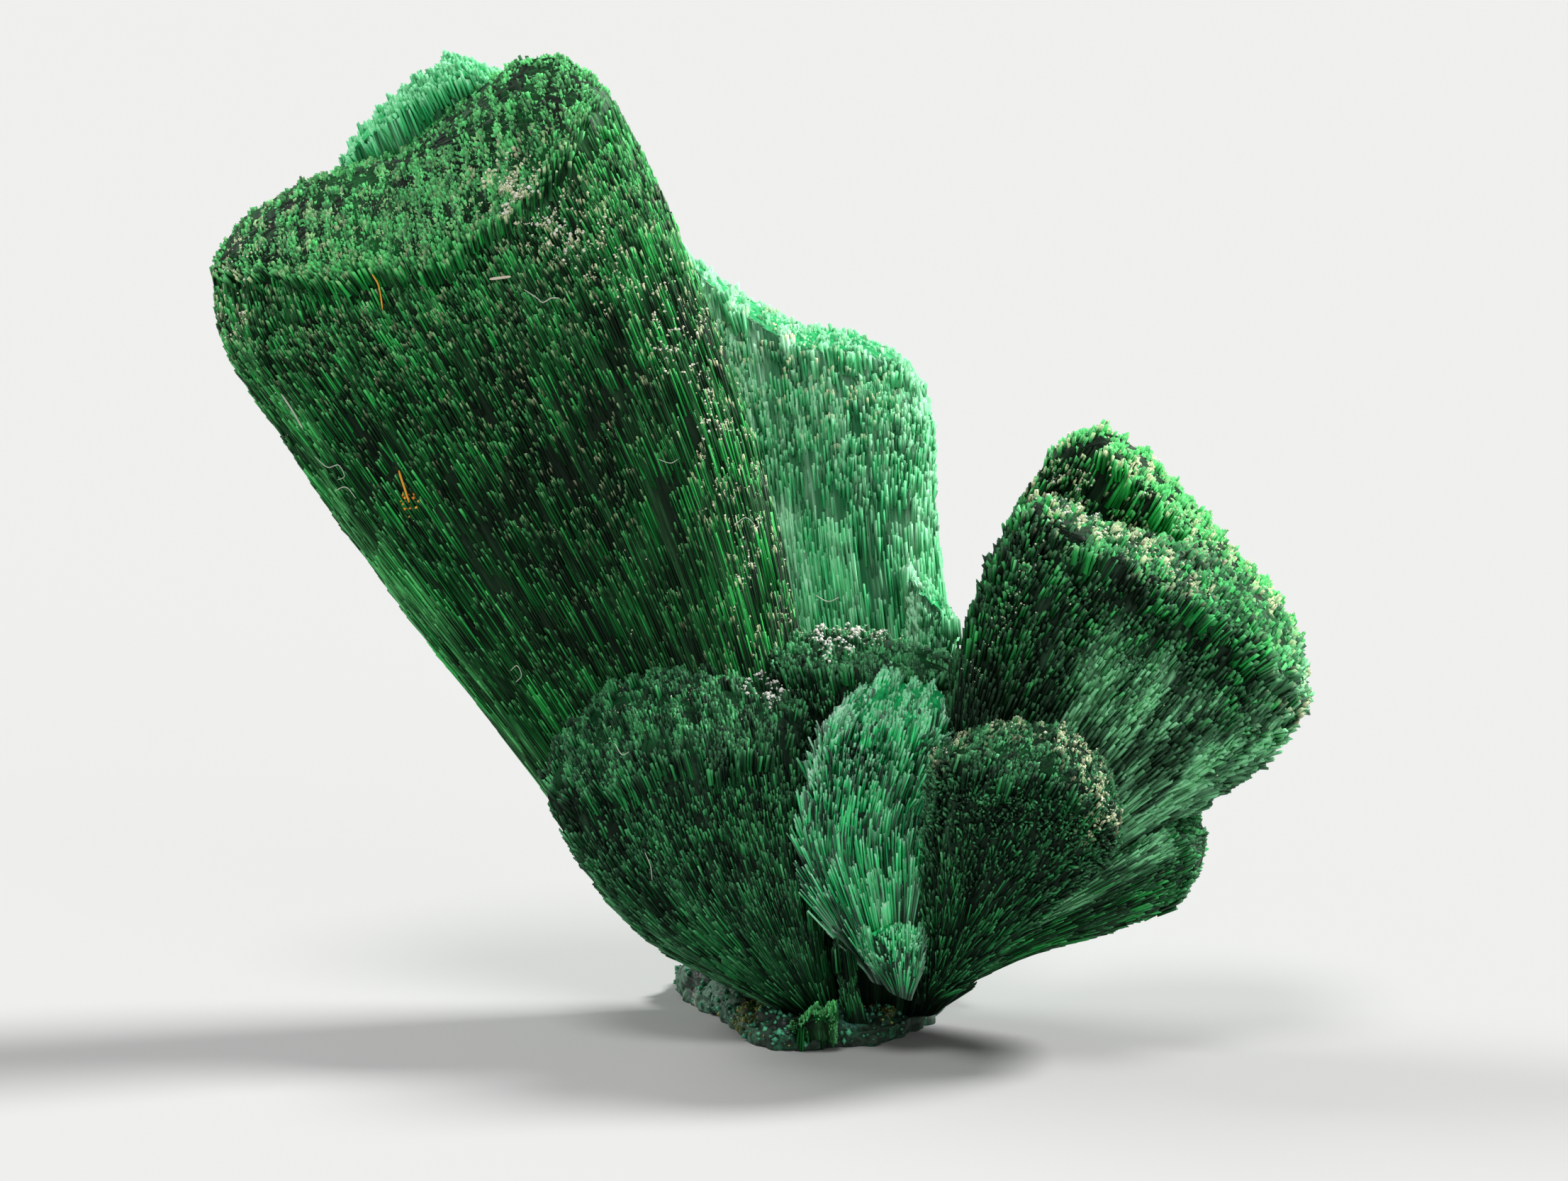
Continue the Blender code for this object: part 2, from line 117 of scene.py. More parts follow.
def wave(x, y, over_x, over_y, start=0.0):
    """Ripple: the sine of start plus x and y, each times its own weight."""
    return np.sin(over_x * x + over_y * y + start)


halfway = curve_through([[0], [1], [4], [9]], np.array(1.5))
print("curve through 0, 1, 4 and 9, at its middle:", halfway.round(3))

# %% Sheaf
OUTLINE_STEPS = 720
GIRTH_HEIGHT = 0.7
NEAR_CREST = 0.98
CLUMP_DROP = 0.9


class Sheaf:
    """A volume of needles. across and depth run from -1 to 1 in a section, height from 0 at the root to 1."""

    def __init__(self, stations, section, crest_places, crest):
        """Scales the section's spline to run from -1 to 1 both ways, and walks round it for its girth."""
        self.stations = np.array(stations, float)
        self.crest_places = crest_places
        self.crest = crest
        outline = closed_spline(section, np.linspace(0, 1, OUTLINE_STEPS + 1))
        low, high = outline.min(axis=0), outline.max(axis=0)
        self.outline = 2 * (outline - low) / (high - low) - 1
        self.half_sizes = self.half_size(np.array(GIRTH_HEIGHT))
        steps = np.linalg.norm(np.diff(self.outline, axis=0) * self.half_sizes, axis=1)
        self.walked = np.concatenate([[0], np.cumsum(steps)])
        self.girth = self.walked[-1]
        self.reach = float(np.linalg.norm(self.along(0.0, 0.0, GIRTH_HEIGHT)))

    def station(self, height):
        """Left x and z, right x and z, middle y and half thickness, on a curve through the given stations."""
        return curve_through(self.stations, np.asarray(height, float) * (len(self.stations) - 1))

    def half_size(self, height):
        """Half the distance between the left and right edge, and half the thickness, in millimetres."""
        left_x, left_z, right_x, right_z, _, thick = np.moveaxis(self.station(height), -1, 0)
        return np.stack([np.hypot(right_x - left_x, right_z - left_z) / 2, thick], axis=-1)

    def rim(self, around):
        """Across and depth on the skin: the outline's places after walking the share around of its girth."""
        walk = np.mod(around, 1) * self.girth
        across, depth = (np.interp(walk, self.walked, self.outline[:, k]) for k in (0, 1))
        return across, depth

    def place(self, across, depth, height):
        """Middle of the station, plus across towards its edges and depth towards its back, in millimetres."""
        left_x, left_z, right_x, right_z, middle_y, thick = np.moveaxis(self.station(height), -1, 0)
        x = (left_x + right_x) / 2 + across * (right_x - left_x) / 2
        z = (left_z + right_z) / 2 + across * (right_z - left_z) / 2
        return np.stack(np.broadcast_arrays(x, middle_y + depth * thick, z), axis=-1)

    def along(self, across, depth, height, step=0.01):
        """How far a needle moves for one unit of height: the change over a step each way, over both steps."""
        above, below = self.place(across, depth, height + step), self.place(across, depth, height - step)
        return (above - below) / (2 * step)

    def outward(self, around, height, step=0.004):
        """Unit vector out of the skin: the needle's direction crossed with the way round the section, turned
        round where it points towards the middle."""
        round_it = self.place(*self.rim(around + step), height) - self.place(*self.rim(around - step), height)
        across, depth = self.rim(around)
        normal = np.cross(self.along(across, depth, height), round_it)
        normal /= np.linalg.norm(normal, axis=-1, keepdims=True)
        spoke = self.place(across, depth, height) - self.place(0.0, 0.0, height)
        return normal * np.where(np.sum(normal * spoke, axis=-1, keepdims=True) < 0, -1, 1)

    def crest_height(self, across, depth):
        """Height of the crest over its clumps: the last station, plus the crest rows on a parabola in depth."""
        near, middle, far = (np.interp(across, self.crest_places, row) for row in self.crest)
        rise = middle + (far - near) / 2 * depth + ((near + far) / 2 - middle) * depth**2
        return 1 + rise / np.linalg.norm(self.along(across, depth, NEAR_CREST), axis=-1)

    def top(self, across, depth):
        """Height where a needle ends: the crest, less two crossed waves that part the needles into clumps."""
        x, y = across * self.half_sizes[0], depth * self.half_sizes[1]
        clump = 0.5 + 0.5 * wave(x, y, 2.9, 1.3) * wave(x, y, 1.7, -2.4, 1)
        return self.crest_height(across, depth) - CLUMP_DROP * clump / self.reach

    def strand(self, across, depth, height):
        """Millimetres across, through and along the needles, for patterns that follow them."""
        wide, thick = self.half_sizes
        return np.stack(np.broadcast_arrays(across * wide, depth * thick, height * self.reach), axis=-1)


print("gaps between clumps of needle ends are up to", CLUMP_DROP, "mm deep")

# %% [markdown]
# ## The sheaves of this specimen
# The stations repeat the solids' own sizes, so the needles fill the solids and don't outgrow them. The crest
# rows give how far the needle ends stand above the last station, on the near face, in the middle and on the
# far face. A section is given by a few corners, counted from -1 to 1, and a spline rounds them. Four sections
# are enough: one with a ridge on its front, a flat slab, a lens and a block.

# %% Sections
RIDGED = ((-1, 0.4), (-0.97, -0.4), (-0.55, -0.85), (0.2, -1), (0.75, -1), (1, -0.3), (0.95, 0.9), (-0.8, 1))
SLAB = ((-1, 0), (-0.85, -0.75), (-0.2, -1), (0.5, -0.95), (0.95, -0.5), (1, 0.3), (0.7, 1), (-0.7, 1))
LENS = ((-1, 0.2), (-0.75, -0.8), (0, -1), (0.75, -0.8), (1, 0.2), (0.6, 0.9), (-0.6, 0.9))
BLOCK = ((-1, -0.3), (-0.8, -0.95), (0.1, -1), (0.85, -0.95), (1, 0), (0.85, 0.9), (0, 1), (-0.85, 0.8))
print("corners of the four sections:", [len(section) for section in (RIDGED, SLAB, LENS, BLOCK)])

# %% Stations of the main sheaf
main_front = Sheaf(
    stations=(
        (-3.2, 0.6, 1.8, 0.8, 0.0, 2.5),
        (-9.6, 3.4, 0.9, 7.4, 0.6, 3.8),
        (-14.8, 7.8, 0.1, 14.2, 1.2, 4.5),
        (-23.1, 19.2, -2.3, 28.2, 1.8, 5.0),
        (-31.7, 30.3, -5.5, 41.9, 2.2, 5.2),
        (-39.7, 42.0, -10.2, 54.9, 2.6, 5.2),
        (-43.4, 48.2, -12.9, 61.0, 2.8, 5.2),
        (-44.3, 54.0, -16.0, 67.0, 3.0, 5.0),
    ),
    section=RIDGED,
    crest_places=(-1, -0.8, -0.5, 0, 0.3, 0.65, 0.85, 1),
    crest=(
        (-4.6, -4.2, -4.6, -5.6, -4.4, -3.4, -3.6, -4.8),
        (0.2, 2.0, 2.4, 1.4, 2.8, 4.0, 3.2, 0.0),
        (-0.6, 1.2, 1.6, 0.4, 1.6, 2.6, 1.8, -0.8),
    ),
)
main_rear = Sheaf(
    stations=(
        (-1.5, 0.6, 1.8, 0.8, 3.0, 2.0),
        (-6.0, 3.2, 1.1, 6.6, 4.4, 2.8),
        (-9.9, 8.3, 0.3, 13.3, 5.4, 3.2),
        (-16.5, 21.1, -2.2, 27.2, 6.4, 3.6),
        (-24.6, 33.3, -5.6, 41.0, 7.2, 3.8),
        (-31.2, 47.0, -10.3, 54.2, 7.8, 3.8),
        (-35.9, 61.2, -17.0, 66.2, 8.2, 3.6),
    ),
    section=SLAB,
    crest_places=(-1, -0.7, -0.2, 0.15, 0.5, 1),
    crest=(
        (-0.6, 1.4, 3.6, 4.6, 2.0, -0.8),
        (0.2, 2.4, 4.6, 5.6, 3.0, -0.4),
        (-1.6, 0.2, 2.2, 3.0, 0.6, -2.0),
    ),
)
print("main sheaf: girth", round(main_front.girth), "mm in front and", round(main_rear.girth), "mm behind")

# %% Stations of the rear sheaf and its shard
rear = Sheaf(
    stations=(
        (-1.5, 0.6, 3.1, 0.6, 3.0, 2.5),
        (-5.0, 7.6, 7.4, 10.2, 5.0, 4.3),
        (-8.1, 21.8, 8.7, 23.8, 7.0, 5.2),
        (-9.8, 34.8, 7.6, 33.8, 8.8, 5.2),
        (-11.1, 45.9, 7.2, 41.8, 10.2, 5.0),
        (-12.1, 55.5, 6.0, 46.8, 11.0, 4.4),
    ),
    section=SLAB,
    crest_places=(-1, -0.5, 0, 0.5, 0.8, 1),
    crest=(
        (-0.6, -2.2, -2.8, -1.2, -1.6, -2.6),
        (0.4, -1.2, -1.8, -0.2, -0.4, -1.6),
        (-1.6, -2.6, -3.4, -2.0, -2.4, -3.4),
    ),
)
rear_shard = Sheaf(
    stations=(
        (4.4, 19.8, 8.8, 19.8, 3.8, 2.2),
        (4.6, 25.9, 9.0, 25.9, 3.8, 2.5),
        (4.8, 32.6, 8.6, 29.6, 4.2, 2.0),
    ),
    section=LENS,
    crest_places=(-1, 0, 1),
    crest=((0.0, 0.2, -0.8), (0.8, 0.6, -0.2), (0.0, 0.0, -0.8)),
)
print("rear sheaf: needles of", round(rear.reach), "mm, in the shard", round(rear_shard.reach), "mm")

# %% Stations of the sheaves on the left and in the middle
notch = Sheaf(
    stations=(
        (0.0, 1.2, 5.6, 1.2, -1.0, 2.0),
        (-2.5, 10.4, 8.1, 10.4, -1.5, 3.2),
        (-4.3, 21.7, 8.6, 21.2, -1.6, 3.8),
        (-5.4, 28.2, 8.6, 27.4, -1.6, 4.0),
    ),
    section=BLOCK,
    crest_places=(-1, -0.6, 0, 0.5, 1),
    crest=((-1.4, -0.8, -0.4, -0.8, -1.2), (-0.2, 0.8, 1.2, 0.6, 0.0), (-0.4, 0.6, 1.0, 0.4, -0.2)),
)
lower_left = Sheaf(
    stations=(
        (-3.8, 1.5, 0.5, 1.7, -4.0, 2.0),
        (-8.0, 3.8, -0.1, 6.0, -4.5, 3.0),
        (-13.8, 7.4, -0.4, 12.2, -5.0, 3.8),
        (-18.2, 12.6, -1.0, 18.3, -5.0, 4.0),
        (-21.4, 19.0, -1.8, 25.1, -4.8, 3.6),
    ),
    section=SLAB,
    crest_places=(-1, -0.7, -0.3, 0.1, 0.5, 0.85, 1),
    crest=(
        (-3.4, -1.8, -0.6, -0.8, -2.2, -3.6, -4.4),
        (-0.2, 2.6, 4.6, 4.6, 2.8, 1.0, -0.6),
        (-0.6, 2.0, 4.0, 4.0, 2.4, 0.6, -1.0),
    ),
)
fan_cup = Sheaf(
    stations=(
        (3.2, 4.3, 5.6, 3.6, -8.0, 1.2),
        (1.4, 7.2, 6.7, 7.4, -8.7, 2.4),
        (0.8, 10.0, 7.0, 10.0, -8.7, 2.2),
    ),
    section=LENS,
    crest_places=(-1, 0, 1),
    crest=((-0.6, 0.4, -0.6), (0.0, 1.0, 0.0), (0.0, 1.0, 0.0)),
)
fan = Sheaf(
    stations=(
        (2.0, 4.8, 5.4, 4.5, -7.0, 1.4),
        (-1.2, 9.8, 6.8, 10.9, -8.0, 2.4),
        (-2.8, 14.9, 6.8, 15.4, -8.0, 2.6),
        (-2.0, 19.9, 7.6, 20.4, -7.5, 2.5),
        (-0.4, 24.2, 8.2, 24.8, -6.5, 2.2),
    ),
    section=LENS,
    crest_places=(-1, -0.7, -0.2, 0.2, 0.6, 1),
    crest=(
        (-2.6, -1.0, 0.4, -0.6, -0.6, -2.0),
        (-0.2, 1.6, 3.2, 1.8, 1.8, 0.4),
        (-0.6, 1.2, 2.8, 1.4, 1.4, 0.0),
    ),
)
print("centre fan: needles of", round(fan.reach), "mm, in the cup", round(fan_cup.reach), "mm")

# %% Stations of the sheaves on the right
right_front = Sheaf(
    stations=(
        (4.6, 1.2, 7.6, 1.2, -1.6, 1.9),
        (5.7, 10.2, 12.6, 6.5, -3.4, 3.4),
        (6.9, 19.1, 18.2, 11.6, -4.6, 4.4),
        (8.0, 27.1, 24.3, 16.2, -5.9, 4.9),
        (10.4, 34.4, 29.6, 20.2, -6.9, 4.9),
        (13.5, 39.7, 33.7, 25.5, -7.4, 4.6),
    ),
    section=BLOCK,
    crest_places=(-1, -0.75, -0.5, 0, 0.5, 0.8, 1),
    crest=(
        (-0.4, 0.0, 0.4, 1.4, 1.4, 0.2, -1.6),
        (0.6, 1.2, 1.8, 3.8, 3.8, 2.0, -0.2),
        (0.0, 0.6, 1.2, 3.4, 3.4, 1.6, -0.8),
    ),
)
right_rear = Sheaf(
    stations=(
        (4.8, 1.2, 7.4, 1.2, 0.0, 1.5),
        (6.2, 10.4, 12.4, 6.7, 0.2, 2.6),
        (7.6, 19.2, 18.0, 12.0, 0.2, 3.2),
        (8.6, 27.4, 24.3, 16.8, 0.2, 3.8),
        (11.2, 35.0, 29.8, 21.0, 0.2, 4.0),
        (14.2, 40.4, 33.9, 26.4, 0.0, 4.1),
    ),
    section=SLAB,
    crest_places=(-1, -0.8, -0.45, -0.1, 0.25, 0.5, 0.85, 1),
    crest=(
        (1.0, 3.6, 3.8, 3.0, 2.4, 2.2, 0.2, -1.6),
        (2.4, 5.6, 5.8, 4.8, 3.8, 3.4, 1.4, -0.6),
        (0.8, 3.8, 4.0, 3.2, 2.4, 2.0, 0.2, -1.6),
    ),
)
lobe = Sheaf(
    stations=(
        (5.3, 3.0, 7.5, 2.8, -6.0, 1.5),
        (5.7, 8.9, 11.4, 6.7, -8.5, 3.0),
        (5.8, 15.1, 15.4, 11.0, -11.0, 4.0),
        (6.0, 20.2, 18.8, 14.8, -13.0, 4.3),
        (7.0, 23.6, 20.2, 17.4, -14.2, 4.0),
    ),
    section=LENS,
    crest_places=(-1, -0.5, 0, 0.5, 0.85, 1),
    crest=(
        (-2.4, 0.2, 1.8, 1.6, -0.6, -2.4),
        (-0.4, 3.4, 5.0, 4.0, 1.2, -0.8),
        (-1.0, 2.6, 4.4, 3.2, 0.4, -1.8),
    ),
)
lower_right = Sheaf(
    stations=(
        (5.1, 2.3, 7.6, 1.6, 0.0, 2.0),
        (11.1, 8.5, 12.8, 5.4, -2.0, 4.2),
        (16.5, 12.8, 18.4, 7.6, -4.0, 5.4),
        (21.6, 16.4, 22.9, 9.8, -5.6, 5.8),
        (24.2, 17.5, 25.0, 11.6, -6.4, 5.4),
    ),
    section=BLOCK,
    crest_places=(-1, -0.5, 0, 0.5, 1),
    crest=((-1.8, 0.2, 0.8, 0.2, -1.8), (-0.6, 1.4, 2.0, 1.4, -0.6), (-2.0, 0.0, 0.6, 0.0, -2.0)),
)
print("right sheaf: girth", round(right_front.girth), "mm in front and", round(right_rear.girth), "mm behind")

# %% Stations of the fragments
stub = Sheaf(
    stations=(
        (0.2, 1.6, 2.6, 1.6, -6.4, 0.9),
        (-0.2, 5.0, 1.6, 5.4, -7.6, 1.0),
        (-0.4, 8.6, 1.0, 8.8, -8.6, 0.7),
    ),
    section=LENS,
    crest_places=(-1, 0, 1),
    crest=((-0.8, 0.0, -0.8), (-0.2, 0.8, -0.2), (-0.4, 0.4, -0.4)),
)
shard = Sheaf(
    stations=(
        (-3.4, 1.0, 0.4, 0.4, -7.6, 0.8),
        (-3.6, 1.9, 0.4, 2.2, -8.2, 1.2),
        (-3.2, 2.8, 0.2, 4.0, -8.4, 0.9),
    ),
    section=LENS,
    crest_places=(-1, 0, 1),
    crest=((-0.3, 0.1, -0.2), (0.0, 0.4, 0.2), (-0.2, 0.2, 0.0)),
)

print("fragments: needles of", round(stub.reach), "and", round(shard.reach), "mm")

# %% [markdown]
# ## Making a piece
# Every shape below ends as one array of points and one of faces. One helper turns them into an object, checks
# that the faces point outwards by the sign of the volume they enclose, and stores the values that the
# materials read on each point. Tone varies from needle to needle, and on some sheaves it also carries painted
# shade on faces and painted light on crests. Tip is the distance past the needle's end in millimetres, so it is
# 0 at the end and negative below it. Pale is how far the green has turned mint, partly the fibres' own mint and
# partly painted light where light falls on a face, and dust is how much has settled. Strand is the place
# across, through and along the needles, so that a pattern can follow them. Every piece rides on the root, the
# frame's only body, and says which solid it stands for.

# %% Piece helper
triangle_counts = {}
small_shapes = []


def enclosed_volume(points, triangles):
    """Sum of the tetrahedra from the middle to each triangle: a corner dotted with the cross of the other two,
    over six."""
    a, b, c = (points[triangles[:, k]] - points.mean(axis=0) for k in range(3))
    return np.einsum("ij,ij->i", a, np.cross(b, c)).sum() / 6


def facing_out(points, triangles):
    """The triangles, each turned round if together they enclose a negative volume, and so face inwards."""
    return triangles[:, ::-1] if enclosed_volume(points, triangles) < 0 else triangles


def add_piece(name, points, triangles, values, material, slot, replaced=None):
    """Mesh object in the frame, from points in millimetres, where a point below the ground is raised to it."""
    triangles = facing_out(points, triangles)
    points = np.column_stack([points[:, :2], np.maximum(points[:, 2], 0)])
    mesh = bpy.data.meshes.new(name)
    mesh.vertices.add(len(points))
    mesh.vertices.foreach_set("co", (points * MM).ravel())
    mesh.loops.add(triangles.size)
    mesh.loops.foreach_set("vertex_index", triangles.ravel().astype(np.int32))
    mesh.polygons.add(len(triangles))
    mesh.polygons.foreach_set("loop_start", np.arange(0, triangles.size, 3, dtype=np.int32))
    mesh.update(calc_edges=True)
    for label, numbers in values.items():
        numbers = np.asarray(numbers, np.float32)
        is_vector = numbers.ndim == 2
        attribute = mesh.attributes.new(label, "FLOAT_VECTOR" if is_vector else "FLOAT", "POINT")
        attribute.data.foreach_set("vector" if is_vector else "value", numbers.ravel())
    mesh.materials.append(material)
    mesh.validate()
    piece = bpy.data.objects.new(name, mesh)
    bpy.context.scene.collection.objects.link(piece)
    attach(piece, "root")
    if replaced:
        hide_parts(replaced)
    triangle_counts[name] = len(triangles)
    low, high = points.min(axis=0).round(1), points.max(axis=0).round(1)
    print(name, len(triangles), "triangles, from", low, "to", high)


def joined(parts):
    """Points and faces of all parts in one set of arrays, each part facing out and its faces counted on."""
    points, triangles, values, offset = [], [], {}, 0
    for part_points, part_triangles, part_values in parts:
        points.append(part_points)
        triangles.append(facing_out(part_points, part_triangles) + offset)
        offset += len(part_points)
        for label, numbers in part_values.items():
            values.setdefault(label, []).append(numbers)
    values = {label: np.concatenate(numbers) for label, numbers in values.items()}
    return np.concatenate(points), np.concatenate(triangles), values


def grid_triangles(rows, columns):
    """Two triangles for each cell of a grid that is closed around, and a fan to a point at each end."""
    row, column = np.mgrid[0 : rows - 1, 0:columns]
    after = (column + 1) % columns
    a, b = row * columns + column, row * columns + after
    c, d = (row + 1) * columns + after, (row + 1) * columns + column
    cells = np.concatenate([np.stack([a, b, c], -1).reshape(-1, 3), np.stack([a, c, d], -1).reshape(-1, 3)])
    around = np.arange(columns)
    onward = (around + 1) % columns
    last = (rows - 1) * columns
    low_fan = np.stack([onward, around, np.full(columns, rows * columns)], axis=1)
    high_fan = np.stack([last + around, last + onward, np.full(columns, rows * columns + 1)], axis=1)
    return np.concatenate([cells, low_fan, high_fan])


print("a closed grid of 3 rings with 4 points has", len(grid_triangles(3, 4)), "triangles")

# %% [markdown]
# ## The core under the needles
# Behind the loose needles a sheaf is still made of needles, packed side by side. A closed skin stands for
# them. Its columns fall in pairs, a ridge and a groove for each needle, and along each ridge the depth steps
# where a needle has broken off and shows the one below. Its crest lies a little over a millimetre below the
# highest needle ends, in the dark between them. A smooth skin with a picture of needles on it would be
# lighter, but its outline and its highlights would stay smooth.

# %% Core
CORE_DEPTH = 0.34
GROOVE_DEPTH = 0.12
BREAK_DEPTH = 0.2
MOST_BREAKS = 16
FEWEST_BREAKS = 7
CORE_CREST_DROP = 1.1
CORE_CREST_EDGE = 0.985
CORE_CREST_TONE = 0.45
CORE_RIDGE_TONE = 0.35
CORE_TIP = -5.0


def core(sheaf, ridges, rows, crest_rows, rng, pale):
    """Closed skin. Wall rows run from the root to the crest and stand back from the sheaf's skin by the core's
    depth, the groove and the level of the break. Shrinking outlines then cover the crest, down to a point."""
    columns = 2 * ridges
    around = np.arange(columns) / columns
    ridge = np.arange(columns) // 2
    groove = np.arange(columns) % 2
    across, depth = sheaf.rim(around)
    share = np.linspace(0, 1, rows)[:, None] ** 0.9
    height = share * (sheaf.crest_height(across, depth) - CORE_CREST_DROP / sheaf.reach)

    breaks = rng.uniform(FEWEST_BREAKS, MOST_BREAKS - 1, ridges)[ridge]
    segment = (share * breaks + rng.uniform(0, 1, ridges)[ridge]).astype(int)
    level = rng.uniform(0, 1, (ridges, MOST_BREAKS))[ridge, segment]
    stand_back = CORE_DEPTH + GROOVE_DEPTH * groove + BREAK_DEPTH * level * share
    wall = sheaf.place(across, depth, height) - sheaf.outward(around, height) * stand_back[..., None]
    # Painted shade: grooves get no tone and ridges little, so the gaps between the needles read dark.
    wall_tone_with_groove_shade = CORE_RIDGE_TONE * level * (1 - groove)

    inner = np.linspace(1, 0, crest_rows + 2)[1:-1, None] * CORE_CREST_EDGE
    drop = CORE_CREST_DROP + rng.uniform(-0.1, 0.4, (crest_rows, ridges))[:, ridge]
    crest_height = sheaf.crest_height(across * inner, depth * inner) - drop / sheaf.reach
    crest = sheaf.place(across * inner, depth * inner, crest_height)

    root = sheaf.place(np.zeros(1), 0.0, 0.0)
    peak = crest[-1].mean(axis=0, keepdims=True)
    points = np.concatenate([wall.reshape(-1, 3), crest.reshape(-1, 3), root, peak])
    strand = np.concatenate(
        [
            sheaf.strand(across, depth, height).reshape(-1, 3),
            sheaf.strand(across * inner, depth * inner, crest_height).reshape(-1, 3),
            np.zeros((2, 3)),
        ]
    )
    values = {
        "tone": np.concatenate([wall_tone_with_groove_shade.ravel(), np.full(crest_height.size + 2, CORE_CREST_TONE)]),
        "tip": np.full(len(points), CORE_TIP),
        "pale": np.concatenate([pale(across, depth, share).ravel(), np.zeros(crest_height.size + 2)]),
        "strand": strand,
    }
    return points, grid_triangles(rows + crest_rows, columns), values


deepest = CORE_DEPTH + GROOVE_DEPTH + BREAK_DEPTH
print("the core lies", CORE_DEPTH, "to", round(deepest, 2), "mm under the skin of the sheaf")

# %% [markdown]
# ## Needles
# A needle is a three-sided prism with an uneven blunt end, eight triangles in all. Real ones have more sides,
# but at a fifth of a millimetre nobody can count them, and about a hundred thousand are needed. They don't
# break singly. A bundle of a few to ten breaks together, so the members of a bundle share a height and a place
# and differ only a little.

# %% Bundles
NEEDLE_FACES = np.array(
    ((0, 1, 4), (0, 4, 3), (1, 2, 5), (1, 5, 4), (2, 0, 3), (2, 3, 5), (2, 1, 0), (3, 4, 5))
)
CORNER_ANGLES = np.array((0, 2.2, 4.1))
CORNER_REACH = np.array((0.5, 0.62, 0.62))


def bundle_members(count, smallest, largest, rng):
    """For each needle, the number of its bundle, its own number in it, and how many the bundle has. A bundle's
    number is repeated as often as its random size. A needle's own is its place less its bundle's first."""
    sizes = rng.integers(smallest, largest + 1, count)
    bundle = np.repeat(np.arange(count), sizes)
    number = np.arange(len(bundle)) - np.repeat(np.cumsum(sizes) - sizes, sizes)
    return bundle, number, sizes[bundle]


def needle_mesh(base, tip, outward, width, tone, pale, strand_base, strand_tip, rng):
    """Prisms from base to tip. Three corners stand around the axis, on spokes that are the cosine and sine of
    an angle times two directions across the axis. At the tip they taper and shift along the axis, so the end
    is uneven."""
    count = len(base)
    axis = tip - base
    length = np.linalg.norm(axis, axis=1, keepdims=True)
    axis = axis / length
    side = np.cross(axis, outward)
    side /= np.linalg.norm(side, axis=1, keepdims=True)
    face = np.cross(side, axis)
    turn = rng.uniform(-0.7, 0.7, count)[:, None] + CORNER_ANGLES
    spoke = np.cos(turn)[..., None] * face[:, None] + np.sin(turn)[..., None] * side[:, None]
    spoke *= width[:, None, None] * CORNER_REACH[:, None]
    taper = rng.uniform(0.72, 1.0, (count, 1, 1))
    slant = rng.uniform(-0.7, 0.3, (count, 3, 1)) * width[:, None, None] * axis[:, None]
    points = np.concatenate([base[:, None] + spoke, tip[:, None] + spoke * taper + slant], axis=1)
    triangles = (NEEDLE_FACES[None] + 6 * np.arange(count)[:, None, None]).reshape(-1, 3)
    small_shapes.append(len(triangles))
    ends = np.zeros((count, 6))
    ends[:, :3] = -length
    strand = np.repeat(np.stack([strand_base, strand_tip], axis=1), 3, axis=1)
    values = {
        "tone": np.repeat(tone, 6),
        "tip": ends.ravel(),
        "pale": np.repeat(pale, 6),
        "strand": strand.reshape(-1, 3),
    }
    return points.reshape(-1, 3), triangles, values


bundle, number, size = bundle_members(3, 3, 9, np.random.default_rng(1))
print("sizes of three bundles:", size[number == 0])

# %% [markdown]
# ## Needles on the faces
# On the faces of a sheaf the needles are seen from the side, as streaks that run up and end at uneven heights.
# Low down they are long and lie flat. Towards the crest more and more have broken, so they are short and stand
# out a little. Each bundle gets a place around the sheaf and a height. Its members lie side by side there, on
# a slight dome, and follow the sheaf's own directions, so the streaks fan out as the sheaf does.

# %% Needles on the faces
FACE_PACKING = 1.15
FIRST_SHARE = 0.04
CROWDING = 0.62
RAGGED_RIM = 0.08
SPARE = 3


def nowhere(across, depth, share):
    """False for every place, because across never passes 1."""
    return across > 2


def no_painted_shade(across, depth, share):
    """1 for every place: no painted shade, so the green is as bright as the needle's own tone."""
    return np.ones_like(across)


def bundle_places(sheaf, count, hidden, rng):
    """Place around and share of the height for each bundle, from more than are needed, less the hidden ones.
    The share is a random number to a power below one, so more bundles stand where the sheaf is wide. At the
    rim they end a random bit lower."""
    share = FIRST_SHARE + (1 - FIRST_SHARE) * rng.uniform(0, 1, SPARE * count) ** CROWDING
    middle = rng.uniform(0, 1, SPARE * count)
    share = np.minimum(share, 1 - np.abs(rng.normal(0, RAGGED_RIM, len(share))))
    seen = ~hidden(*sheaf.rim(middle), share)
    return middle[seen][:count], share[seen][:count]


